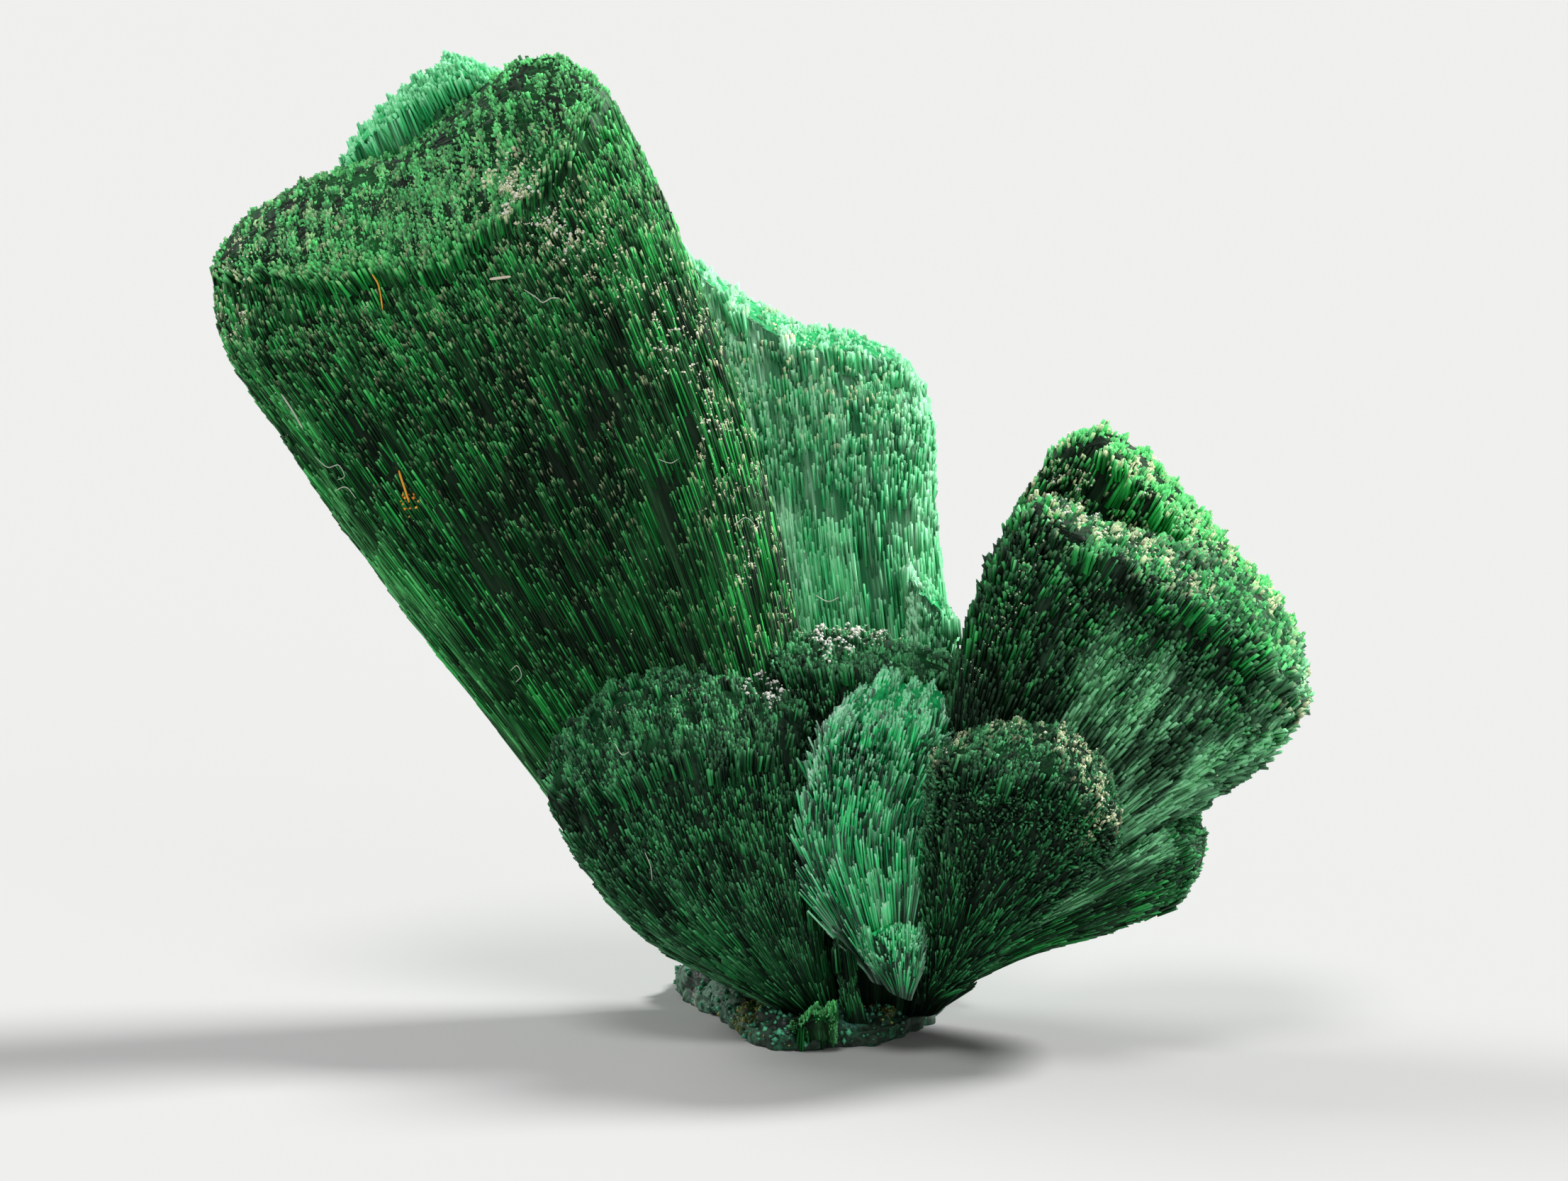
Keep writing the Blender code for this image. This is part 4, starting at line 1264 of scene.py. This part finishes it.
# %% Right sheaf
def right_pale(across, depth, share):
    """Long mint streaks in the middle and low on the face."""
    middle = smooth_step(0.3, 0.5, share) * smooth_step(0.95, 0.75, share) * smooth_step(-0.5, 0.1, across)
    low_edge = smooth_step(0.45, 0.95, across) * smooth_step(0.1, 0.3, share)
    return 0.06 + 1.1 * middle + 0.7 * low_edge


def right_painted_shade(across, depth, share):
    """Painted shade: darker below the crest."""
    return 1 - 0.35 * smooth_step(0.95, 0.5, share)


def behind_right_front(across, depth, share):
    """The back of the front block, which the rear block covers."""
    return (depth > 0.5) & (share < 0.9) & (np.abs(across) < 0.8)


def before_right_rear(across, depth, share):
    """The front of the rear block, which the front block covers."""
    return (depth < -0.3) & (share < 0.8) & (np.abs(across) < 0.8)


RIGHT_LINE = ((13.6, 39.8), (15.5, 39.0), (17.7, 38.0), (20.4, 36.3), (25.3, 33.8))
RIGHT_BACK_LINE = ((22.7, 37.2), (25.6, 36.2), (27.6, 35.2), (29.6, 33.0), (30.6, 31.5))
RIGHT_END = ((30.5, 34.1), (33.1, 29.1), (33.6, 26.1), (32.1, 24.1))
RIGHT_TOP = ((15.8, 41.0), (17.8, 39.5), (19.8, 42.5), (21.8, 41.0))
RIGHT_DUST = ((RIGHT_LINE, 0.9, 1.0), (RIGHT_BACK_LINE, 0.9, 1.0), (RIGHT_END, 2.0, 0.7), (RIGHT_TOP, 3.0, 1.0))
dress(
    "right_front", "right_sheaf", right_front, streaked_needles, "malachite_dark", 61, 180, 34, 2100, 480,
    pale=right_pale, width=0.29, length=(1.6, 6.5), proud=0.65, members=(2, 6), drop=1.0, dust_lines=RIGHT_DUST,
    depth_of_green=right_painted_shade, hidden=behind_right_front,
)
dress(
    "right_rear", "right_sheaf", right_rear, dark_needles, "malachite_dark", 62, 160, 28, 900, 460,
    width=0.25, length=(2.0, 6.0), proud=0.3, drop=1.0, dust_lines=RIGHT_DUST, crest_light=0.55,
    hidden=before_right_rear,
)


# %% Lobe and lower right sheaf
def lobe_pale(across, depth, share):
    """A little mint at the left edge."""
    return 0.05 + 0.15 * smooth_step(-0.5, -1.0, across) + 0 * share


def lower_right_pale_and_lit(across, depth, share):
    """Mint streaks along the upper edge, partly own mint and partly painted light on the lit upper side."""
    return 0.1 + 0.9 * smooth_step(0.2, -0.6, across) * smooth_step(1.0, 0.8, share)


LOBE_CREST = (
    (6.2, 22.7), (8.2, 24.4), (10.6, 25.2), (13.0, 25.7), (15.0, 24.9),
    (16.2, 23.7), (17.4, 21.7), (18.2, 19.7), (18.7, 18.5), (17.5, 18.0),
)
dress(
    "lobe", "front_right_lobe", lobe, deep_and_shaded_needles, "malachite_dark", 71, 120, 26, 2400, 420,
    pale=lobe_pale, width=0.2, length=(0.9, 2.6), proud=0.34, members=(1, 4), lean=0.2, drop=0.8,
    dust_lines=((LOBE_CREST, 1.0, 1.0),), crest_light=0.0,
)
dress(
    "lower_right", "lower_right_sheaf", lower_right, streaked_needles, "malachite_dark", 81, 120, 24, 700, 230,
    pale=lower_right_pale_and_lit, width=0.22, length=(2.0, 6.0), drop=0.9,
)

# %% [markdown]
# ## Fragments
# Two small bundles stand loose at the foot of the sheaves: a dark stub of fibres and a pale splintered shard.
# They are sheaves too, only a few millimetres long, so the same helper dresses them with thinner needles.

# %% Fragments at the base
dress(
    "stub", "fibre_stub", stub, deep_and_shaded_needles, "malachite_dark", 91, 36, 10, 60, 14,
    pale=lower_left_pale, width=0.16, length=(1.0, 2.5), proud=0.1, drop=0.6,
)
dress(
    "shard", "base_shard", shard, dark_needles, "malachite_pale", 92, 36, 8, 60, 14,
    pale=fan_pale, width=0.14, length=(0.5, 1.2), proud=0.08, drop=0.4,
)

# %% [markdown]
# ## The foot
# The sheaves grow out of a low lump of matrix. Malachite and its neighbours cover such a lump with small
# round beads and with grains. The surface is the solid's own: an outline on the ground, shrunk in rings
# towards the middle, with the height raised by round bumps. Beads are many small spherical caps added to that
# height, and colour spots are stored on the points as masks.

# %% Foot shape
FOOT_OUTLINE = np.array(
    (
        (-4.0, -8.2), (-0.6, -6.4), (3.3, -6.8), (6.4, -0.6), (8.6, 5.0), (8.4, 10.5), (3.0, 14.0),
        (-4.0, 14.8), (-9.6, 13.0), (-11.3, 8.8), (-8.9, 4.0), (-7.2, 0.2), (-6.0, -4.2),
    )
)
FOOT_BUMPS = (
    (-9.0, 8.0, 2.8, 1.3), (-6.8, 4.4, 2.4, 1.0), (-8.4, 11.4, 2.6, 0.9), (-5.2, -1.6, 2.2, 0.5),
    (-3.8, -5.4, 2.0, 0.4), (5.6, 7.6, 2.8, 0.8), (-0.6, 8.4, 6.6, 2.6), (1.6, 11.4, 2.8, 0.9),
    (-3.4, 12.2, 2.4, 0.8), (1.4, -4.8, 2.0, 0.3),
)
FOOT_TOP = 2.3
FOOT_COLUMNS = 260
FOOT_RINGS = 64
FOOT_SIDE_ROWS = 12
BEADS = 420
BEAD_HEIGHT = 0.8
BEAD_SINK = 0.55
BEAD_SOURCE = -3.0


def foot_surface(rng):
    """Rings at shrinking shares of the outline. Their height is a rounded rim plus the bumps, each a half ball
    squeezed to its height. Then every point moves away from a source below the middle by the highest cap over
    it: the height of a ball around a random place on the surface, less how far the surface is sunk."""
    around = np.arange(FOOT_COLUMNS) / FOOT_COLUMNS
    outline = closed_spline(FOOT_OUTLINE, around)
    low, high = outline.min(axis=0), outline.max(axis=0)
    outline = FOOT_OUTLINE.min(axis=0) + (outline - low) / (high - low) * np.ptp(FOOT_OUTLINE, axis=0)
    centre = outline.mean(axis=0)
    share = np.concatenate([np.full(FOOT_SIDE_ROWS, 1.0), np.linspace(1, 0.03, FOOT_RINGS)])[:, None]
    climb = np.concatenate([np.linspace(0, 1, FOOT_SIDE_ROWS), np.ones(FOOT_RINGS)])[:, None]
    flat = centre + (outline - centre) * share[..., None]
    lift = FOOT_TOP * (1 - 0.45 * share**6) * np.ones(FOOT_COLUMNS)
    for x, y, radius, height in FOOT_BUMPS:
        away = np.hypot(flat[..., 0] - x, flat[..., 1] - y) / radius
        lift = lift + height * np.sqrt(np.clip(1 - away**2, 0, None))
    points = np.concatenate([flat, (lift * climb)[..., None]], axis=-1)

    smooth = points.reshape(-1, 3)
    seeds = smooth[rng.integers(0, len(smooth), BEADS)]
    size = rng.uniform(0.4, 0.95, BEADS) + 0.25 * smooth_step(-4.0, -7.5, seeds[:, 0])
    away = np.linalg.norm(smooth[:, None] - seeds[None], axis=-1) / size
    cap = (np.sqrt(np.clip(1 - away**2, 0, None)) * size * BEAD_HEIGHT).max(axis=1)
    outward = smooth - np.array((*centre, BEAD_SOURCE))
    outward /= np.linalg.norm(outward, axis=1, keepdims=True)
    moved = smooth + outward * (cap - BEAD_SINK)[:, None]
    moved[:, 2] = np.where(smooth[:, 2] <= 0, 0, np.maximum(moved[:, 2], 0.02))
    peak = np.array(((*centre, moved[-FOOT_COLUMNS:, 2].mean()),))
    points = np.concatenate([moved, np.array(((*centre, 0.0),)), peak])
    return points, grid_triangles(FOOT_SIDE_ROWS + FOOT_RINGS, FOOT_COLUMNS), np.concatenate([cap, [0, 0]])


def spot(points, x, y, radius):
    """1 up to 0.3 of the radius from the place in plan, 0 from the radius on, and an S-curve between."""
    return smooth_step(radius, 0.3 * radius, np.hypot(points[:, 0] - x, points[:, 1] - y))


print("foot:", np.ptp(FOOT_OUTLINE, axis=0), "mm in plan, with", BEADS, "beads")

# %% [markdown]
# ## The rock of the foot
# The rock is nearly black, with green crystals strewn over it and spots of other minerals. It could have one
# material for each mineral, but the spots have soft edges. So one material mixes their colours in turn, each
# by the mask that the foot's points store under its name, and a last mix darkens the grain between them.

# %% Matrix material
MATRIX_BUMP = 0.12
MINERALS = (
    ("bead", (0.13, 0.30, 0.19, 1)),
    ("moss", (0.20, 0.24, 0.035, 1)),
    ("turquoise", (0.10, 0.42, 0.30, 1)),
    ("chalk", (0.55, 0.66, 0.52, 1)),
)

matrix = bpy.data.materials.new("matrix_rock")
matrix.use_nodes = True
tree = matrix.node_tree
shader = tree.nodes["Principled BSDF"]
ground = node(tree, "ShaderNodeTexCoord").outputs["Object"]
coarse_grain = noise(tree, ground, 420, 3.0)
fine_grain = noise(tree, ground, 2400, 2.0)
crystals = node(tree, "ShaderNodeTexVoronoi", feature="F1")
crystals.inputs["Scale"].default_value = 1500
feed(tree, crystals.inputs["Vector"], ground)
blotches = between(tree, coarse_grain, 0.4, 0.62)
rock = mix_colour(tree, blotches, (0.004, 0.013, 0.008, 1), (0.028, 0.080, 0.044, 1))
rock = mix_colour(tree, between(tree, crystals.outputs["Color"], 0.62, 0.8), rock, (0.02, 0.17, 0.075, 1))
for mask, mineral in MINERALS:
    rock = mix_colour(tree, attribute(tree, mask), rock, mineral)
shadowed = mix_colour(tree, between(tree, fine_grain, 0.3, 0.6), (0.004, 0.010, 0.007, 1), rock)
tree.links.new(shadowed, shader.inputs["Base Color"])
tree.links.new(calculate(tree, "MULTIPLY_ADD", coarse_grain, 0.5, 0.35), shader.inputs["Roughness"])
grain_bump = node(tree, "ShaderNodeBump")
grain_bump.inputs["Distance"].default_value = MATRIX_BUMP * MM
tree.links.new(calculate(tree, "ADD", fine_grain, crystals.outputs["Distance"]), grain_bump.inputs["Height"])
tree.links.new(grain_bump.outputs["Normal"], shader.inputs["Normal"])
print("matrix material:", len(tree.nodes), "nodes")

# %% Foot
rng = np.random.default_rng(101)
points, triangles, cap = foot_surface(rng)
on_bead = smooth_step(0.2, 0.6, cap)
foot_values = {
    "bead": 0.85 * on_bead * smooth_step(-4.5, -8.0, points[:, 0]),
    "moss": 0.8 * on_bead * np.minimum(spot(points, -5.6, -3.0, 2.0) + spot(points, 3.4, -3.2, 1.3), 1),
    "turquoise": on_bead * np.minimum(spot(points, 1.2, -6.0, 1.5) + 0.8 * spot(points, 6.8, 2.0, 2.2), 1),
    "chalk": on_bead * np.minimum(spot(points, -10.4, 5.0, 0.8) + spot(points, -5.5, -2.2, 0.7), 1),
}
add_piece("foot_rock", points, triangles, foot_values, matrix, "matrix_rock", "matrix_foot")
foot_skin = points[points[:, 2] > 0.25]

# %% [markdown]
# ## Dust and lint
# Cream-coloured dust has settled on the needle ends, in bands where a crest looks up, and a few threads and
# splinters cling to the front. Over the film on the ends lie single grains. Each is an octahedron, eight
# faces, because thousands are needed. A grain takes its place from the end of a real needle, so nothing
# floats. A band is a line through a few places on the front view, and a needle end near it may carry a grain.

# %% Places for dust
NEIGHBOUR_REACH = 0.6
GRAIN_DEPTH = 2.5


def frontmost(names, x, z):
    """Depth of the needle end nearest the viewer among those near a place in the front view, or, where there is
    none, of the end nearest the place."""
    ends = np.concatenate([needle_ends[name] for name in names])
    away = np.hypot(ends[:, 0] - x, ends[:, 2] - z)
    near = ends[away < NEIGHBOUR_REACH]
    return near[:, 1].min() if len(near) else ends[np.argmin(away), 1]


def dust_places(names, line, half_width, count, rng):
    """Needle ends picked with a chance of e to the minus square of the distance to the line, over 0.55 of the
    band's half width, times the patches, and none of those far behind the frontmost ends."""
    ends = np.concatenate([needle_ends[name] for name in names])
    away = band_distance(ends, line)
    ends, away = ends[away < half_width], away[away < half_width]
    chance = np.exp(-((away / (0.55 * half_width)) ** 2)) * (behind_front(ends) < GRAIN_DEPTH)
    chance *= 0.1 + clusters(ends)
    picked = rng.choice(len(ends), min(count, int((chance > 0).sum())), replace=False, p=chance / chance.sum())
    return ends[picked]


print("needle ends that may carry dust:", {name: len(ends) for name, ends in needle_ends.items()})

# %% Grains
GRAIN_FACES = np.array(((0, 2, 4), (2, 1, 4), (1, 3, 4), (3, 0, 4), (2, 0, 5), (1, 2, 5), (3, 1, 5), (0, 3, 5)))
GRAIN_CORNERS = np.array(((1, 0, 0), (-1, 0, 0), (0, 1, 0), (0, -1, 0), (0, 0, 1), (0, 0, -1.0)))


def grains(places, smallest, largest, rng):
    """Octahedra with corners at uneven distances, turned about the upright and then the sideways axis by random
    angles, and moved a little up and forwards from the place. Most are small: a random number is squared."""
    count = len(places)
    size = smallest + (largest - smallest) * rng.uniform(0, 1, count) ** 2
    corners = GRAIN_CORNERS[None] * rng.uniform(0.6, 1.3, (count, 6, 1)) * size[:, None, None] / 2
    turn, lean = rng.uniform(0, 2 * np.pi, (2, count, 1))
    x = corners[..., 0] * np.cos(turn) - corners[..., 1] * np.sin(turn)
    y = corners[..., 0] * np.sin(turn) + corners[..., 1] * np.cos(turn)
    z = corners[..., 2]
    corners = np.stack([x, y * np.cos(lean) - z * np.sin(lean), y * np.sin(lean) + z * np.cos(lean)], axis=-1)
    middle = places + (0, -0.05, 0.04) + rng.normal(0, 0.05, (count, 3))
    triangles = (GRAIN_FACES[None] + 6 * np.arange(count)[:, None, None]).reshape(-1, 3)
    small_shapes.append(len(triangles))
    points = (middle[:, None] + corners).reshape(-1, 3)
    return points, triangles, {"tone": np.repeat(rng.uniform(0, 1, count), 6)}


def strewn(bands, rng):
    """Grains of every band: its sheaves, line, half width and number, and the smallest and largest grain."""
    return [
        grains(dust_places(names, line, half_width, count, rng), smallest, largest, rng)
        for names, line, half_width, count, smallest, largest in bands
    ]


print("a grain has", len(GRAIN_CORNERS), "corners and", len(GRAIN_FACES), "faces")

# %% Dust and lint materials
def plain_material(name, dark, light, roughness):
    """Principled shader whose colour is mixed from dark to light by tone plus a fine noise around zero."""
    material = bpy.data.materials.new(name)
    material.use_nodes = True
    tree = material.node_tree
    shader = tree.nodes["Principled BSDF"]
    place = node(tree, "ShaderNodeTexCoord").outputs["Object"]
    mottle = calculate(tree, "MULTIPLY_ADD", noise(tree, place, 3000, 2.0), 0.6, -0.3)
    mixed = calculate(tree, "ADD", attribute(tree, "tone"), mottle, clamp=True)
    tree.links.new(mix_colour(tree, mixed, (*dark, 1), (*light, 1)), shader.inputs["Base Color"])
    shader.inputs["Roughness"].default_value = roughness
    print(name, "from", dark, "to", light)
    return material


cream_dust = plain_material("cream_dust", (0.55, 0.60, 0.36), (0.98, 0.98, 0.78), 0.9)
white_dust = plain_material("white_dust", (0.70, 0.70, 0.62), (1.0, 0.98, 0.94), 0.7)
lint_fibre = plain_material("lint_fibre", (0.22, 0.30, 0.20), (0.68, 0.72, 0.60), 0.6)
straw_fibre = plain_material("straw_fibre", (0.50, 0.42, 0.28), (0.85, 0.80, 0.66), 0.6)
orange_crust = plain_material("orange_crust", (0.75, 0.20, 0.01), (1.0, 0.52, 0.04), 0.7)

# %% Dust on the main sheaf
MAIN = ("main_front",)
RIGHT = ("right_front", "right_rear")
LOBE = ("lobe",)
NOTCH = ("notch",)
LOWER_LEFT = ("lower_left",)

MAIN_BANDS = (
    (MAIN, RIDGE, 3.4, 1100, 0.08, 0.26),
    (MAIN, ((-22.4, 60.2), (-18.6, 57.0)), 2.6, 200, 0.12, 0.38),
    (MAIN, ((-12.5, 51.6), (-10.6, 50.2)), 1.4, 40, 0.12, 0.26),
    (MAIN, ((-9.6, 45.0), (-8.2, 43.0)), 1.4, 50, 0.12, 0.26),
    (MAIN, ((-41.4, 56.2), (-42.7, 50.2)), 1.5, 90, 0.1, 0.24),
    (MAIN, ((-36.0, 54.0), (-12.0, 34.0)), 14.0, 560, 0.05, 0.15),
)
rng = np.random.default_rng(202)
add_piece("main_dust", *joined(strewn(MAIN_BANDS, rng)), cream_dust, "dust")

# %% Dust on the other sheaves
RIGHT_BANDS = (
    (RIGHT, RIGHT_LINE, 0.9, 420, 0.1, 0.3),
    (RIGHT, RIGHT_BACK_LINE, 0.9, 260, 0.1, 0.24),
    (RIGHT, (*RIGHT_TOP, (21.8, 38.5)), 1.8, 240, 0.1, 0.3),
    (RIGHT, ((14.5, 37.5), (13.1, 35.0), (11.6, 31.5), (9.2, 27.1)), 0.9, 120, 0.08, 0.22),
    (RIGHT, RIGHT_END, 1.6, 220, 0.08, 0.2),
    (RIGHT, ((14.0, 33.0), (28.0, 24.0)), 7.0, 120, 0.06, 0.16),
)
CREST_BANDS = (
    (LOBE, LOBE_CREST[2:], 0.95, 420, 0.1, 0.28),
    (LOBE, LOBE_CREST[:3], 0.8, 60, 0.08, 0.2),
    (NOTCH, ((-4.5, 29.3), (1.0, 29.3), (5.9, 28.8), (8.2, 28.5)), 1.1, 230, 0.08, 0.2),
    (LOWER_LEFT, ((-18.0, 22.0), (-4.0, 26.0)), 3.5, 160, 0.05, 0.13),
)
add_piece("right_dust", *joined(strewn(RIGHT_BANDS, rng)), cream_dust, "dust")
add_piece("crest_dust", *joined(strewn(CREST_BANDS, rng)), cream_dust, "dust")

# %% White grains
WHITE_BANDS = (
    (MAIN, ((-21.8, 59.6), (-19.4, 57.4)), 2.0, 110, 0.12, 0.36),
    (MAIN, ((-12.5, 51.6), (-9.0, 44.0)), 2.0, 60, 0.1, 0.26),
    (MAIN, ((-8.6, 43.0), (-5.4, 33.0)), 2.0, 70, 0.08, 0.22),
    (MAIN, ((-42.0, 55.0), (-42.7, 51.0)), 1.2, 40, 0.1, 0.24),
    (NOTCH, ((-0.5, 28.8), (3.0, 29.6)), 1.6, 210, 0.16, 0.42),
    (LOWER_LEFT, ((-4.7, 25.9), (-2.5, 27.2)), 1.8, 150, 0.14, 0.38),
    (RIGHT, ((14.6, 39.4), (17.7, 38.0)), 1.0, 50, 0.14, 0.34),
)
add_piece("white_dust_grains", *joined(strewn(WHITE_BANDS, rng)), white_dust, "dust")

# %% [markdown]
# ## Threads, a straw and orange flecks
# A few lint threads, a straw-coloured splinter and orange flecks lie on the needle ends. A thread could be a
# Blender curve with a bevel, but it has to be a mesh in the end, and five points around a smooth path make
# the same tube. A thread's route is a few places of the front view, and its depth there is that of the needle
# end nearest the viewer.

# %% Threads
TUBE_SIDES = 5
TUBE_STEPS = 24
THREAD_LIFT = 0.08


def thread(points, radius):
    """Tube: a ring of five points, cosine and sine of their angles times two directions across the curve, is
    carried along a smooth curve, gets thinner at both ends, and is closed by a point at each end."""
    path = curve_through(points, np.linspace(0, len(points) - 1, TUBE_STEPS))
    ahead = np.gradient(path, axis=0)
    ahead /= np.linalg.norm(ahead, axis=1, keepdims=True)
    side = np.cross(ahead, (0.1, 1.0, 0.2))
    side /= np.linalg.norm(side, axis=1, keepdims=True)
    up = np.cross(side, ahead)
    turn = np.arange(TUBE_SIDES) * 2 * np.pi / TUBE_SIDES
    size = radius * np.sqrt(np.clip(1 - np.linspace(-1, 1, TUBE_STEPS) ** 8, 0.15, 1))[:, None, None]
    ring = np.cos(turn)[:, None] * side[:, None] + np.sin(turn)[:, None] * up[:, None]
    points = np.concatenate([(path[:, None] + size * ring).reshape(-1, 3), path[:1], path[-1:]])
    return points, grid_triangles(TUBE_STEPS, TUBE_SIDES), {"tone": np.full(len(points), 0.6)}


def laid(threads):
    """Threads through places of the front view, a little in front of the needle ends there: their sheaves,
    places and radius."""
    routes = [[(x, frontmost(names, x, z) - THREAD_LIFT, z) for x, z in places] for names, places, _ in threads]
    return [thread(np.array(route), radius) for route, (_, _, radius) in zip(routes, threads)]


LINT = (
    (MAIN, ((-21.8, 53.1), (-20.9, 52.5), (-20.5, 52.2), (-19.9, 52.5), (-19.3, 52.5)), 0.045),
    (MAIN, ((-36.7, 40.9), (-35.8, 40.2), (-35.0, 40.4), (-34.6, 39.6), (-35.1, 39.3)), 0.035),
    (MAIN, ((-35.3, 38.5), (-34.5, 38.8), (-33.8, 38.0)), 0.035),
    (MAIN, ((-23.0, 25.9), (-22.5, 26.3), (-22.2, 25.6), (-22.6, 25.1)), 0.035),
    (MAIN, ((-12.5, 41.2), (-11.6, 40.9), (-10.9, 41.3)), 0.03),
    (MAIN, ((-7.2, 36.4), (-6.4, 36.9), (-5.7, 36.3)), 0.03),
    (MAIN, ((-39.0, 45.4), (-38.2, 44.2), (-37.5, 42.9)), 0.07),
    (LOWER_LEFT, ((-15.5, 21.9), (-15.0, 21.2), (-14.5, 21.4)), 0.03),
    (LOWER_LEFT, ((-13.4, 14.4), (-13.0, 13.4), (-12.9, 12.4)), 0.035),
    (NOTCH, ((-1.5, 31.0), (-0.6, 30.6), (0.2, 30.9)), 0.04),
)
STRAW = ((MAIN, ((-24.2, 53.8), (-23.5, 53.9), (-22.7, 54.0)), 0.1),)
ORANGE_STREAKS = (
    (MAIN, ((-32.4, 54.1), (-32.0, 53.4), (-31.8, 52.4), (-31.7, 51.6)), 0.06),
    (MAIN, ((-30.7, 40.2), (-30.5, 39.5), (-30.3, 38.9), (-30.0, 37.9)), 0.08),
)
ORANGE_GRAINS = ((MAIN, ((-30.2, 38.3), (-29.7, 37.3)), 0.6, 36, 0.14, 0.34),)
add_piece("lint_threads", *joined(laid(LINT)), lint_fibre, "dust")
add_piece("straw_piece", *joined(laid(STRAW)), straw_fibre, "dust")
orange = [*laid(ORANGE_STREAKS), *strewn(ORANGE_GRAINS, rng)]
add_piece("orange_flecks", *joined(orange), orange_crust, "dust")

# %% [markdown]
# ## Grains on the foot
# The foot sparkles with small green crystals, and a few yellow grains gather at two spots of its front. They
# are the same octahedra as the dust, larger and glossier, and stand on points of the foot's own surface.

# %% Grains on the foot
LOWEST_GRAIN = 0.4
GREEN_GRAINS = 1500
YELLOW_GRAINS = 320

crystal_green = plain_material("crystal_green", (0.004, 0.060, 0.026), (0.120, 0.600, 0.330), 0.35)
crystal_yellow = plain_material("crystal_yellow", (0.060, 0.080, 0.012), (0.460, 0.480, 0.120), 0.5)
front_skin = foot_skin[foot_skin[:, 1] < 6]
chance = spot(front_skin, -5.6, -3.0, 2.4) + spot(front_skin, 3.4, -3.4, 1.6) + 0.02
yellow = front_skin[rng.choice(len(front_skin), YELLOW_GRAINS, replace=False, p=chance / chance.sum())]
green = foot_skin[rng.choice(len(foot_skin), GREEN_GRAINS, replace=False)]
yellow, green = (
    np.column_stack([places[:, :2], np.maximum(places[:, 2], LOWEST_GRAIN)]) for places in (yellow, green)
)
add_piece("foot_crystals", *grains(green, 0.16, 0.6, rng), crystal_green, "matrix_rock", "matrix_foot")
add_piece("foot_yellow_grains", *grains(yellow, 0.12, 0.42, rng), crystal_yellow, "matrix_rock", "matrix_foot")

print("all pieces:", sum(triangle_counts.values()), "triangles, largest", max(triangle_counts.values()))
print("needles and grains among them:", sum(small_shapes), "triangles")

# %% [markdown]
# ## Floor and light
# A pale paper floor and soft light show the greens. The brightest light stands behind, above and to the
# right, so that the crests and the right faces catch it and the broad front stays dark, as in the photograph.
# A second one behind on the left picks out the crest there, one from high up in front brightens the needle
# ends on top, and a weak one in front on the right opens the shadows. They are suns, because a sun lights
# a small object and a close-up of it alike.

# %% Stage
FLOOR_HALF = 4000.0
FLOOR_COLOUR = (0.46, 0.46, 0.455, 1)
WORLD_STRENGTH = 0.22

floor_mesh = bpy.data.meshes.new("floor")
corners = np.array(((-1, -1, 0), (1, -1, 0), (1, 1, 0), (-1, 1, 0))) * FLOOR_HALF * MM
floor_mesh.from_pydata(corners.tolist(), [], [(0, 1, 2, 3)])
floor = bpy.data.objects.new("floor", floor_mesh)
bpy.context.scene.collection.objects.link(floor)
floor_material = bpy.data.materials.new("floor_paper")
floor_material.use_nodes = True
paper = floor_material.node_tree.nodes["Principled BSDF"]
paper.inputs["Base Color"].default_value = FLOOR_COLOUR
paper.inputs["Roughness"].default_value = 0.95
floor_mesh.materials.append(floor_material)

world = bpy.data.worlds.new("studio")
world.use_nodes = True
sky = world.node_tree.nodes["Background"]
sky.inputs["Color"].default_value = (1.0, 1.0, 1.0, 1)
sky.inputs["Strength"].default_value = WORLD_STRENGTH
bpy.context.scene.world = world
print("floor", 2 * FLOOR_HALF * MM, "m wide")


# %% Lights
def add_sun(name, location, strength, softness):
    """Even light from the direction of location, with shadows blurred by its angle in degrees. It leans from
    the upright by the angle of the flat distance over the height, and turns to face the middle."""
    data = bpy.data.lights.new(name, "SUN")
    data.energy = strength
    data.angle = math.radians(softness)
    lamp = bpy.data.objects.new(name, data)
    bpy.context.scene.collection.objects.link(lamp)
    lamp.location = [value * MM for value in location]
    x, y, z = location
    lean = math.atan2(math.hypot(x, y), z)
    lamp.rotation_euler = (lean, 0, math.atan2(-x, y) + math.pi)
    print(name, "strength", strength, "at", round(90 - math.degrees(lean)), "degrees above the ground")


add_sun("key_behind_right", (260, 90, 250), 4.2, 14)
add_sun("rim_behind_left", (-260, 150, 260), 1.6, 25)
add_sun("top_front", (-60, -150, 420), 1.2, 20)
add_sun("front_fill", (240, -360, 150), 0.35, 40)
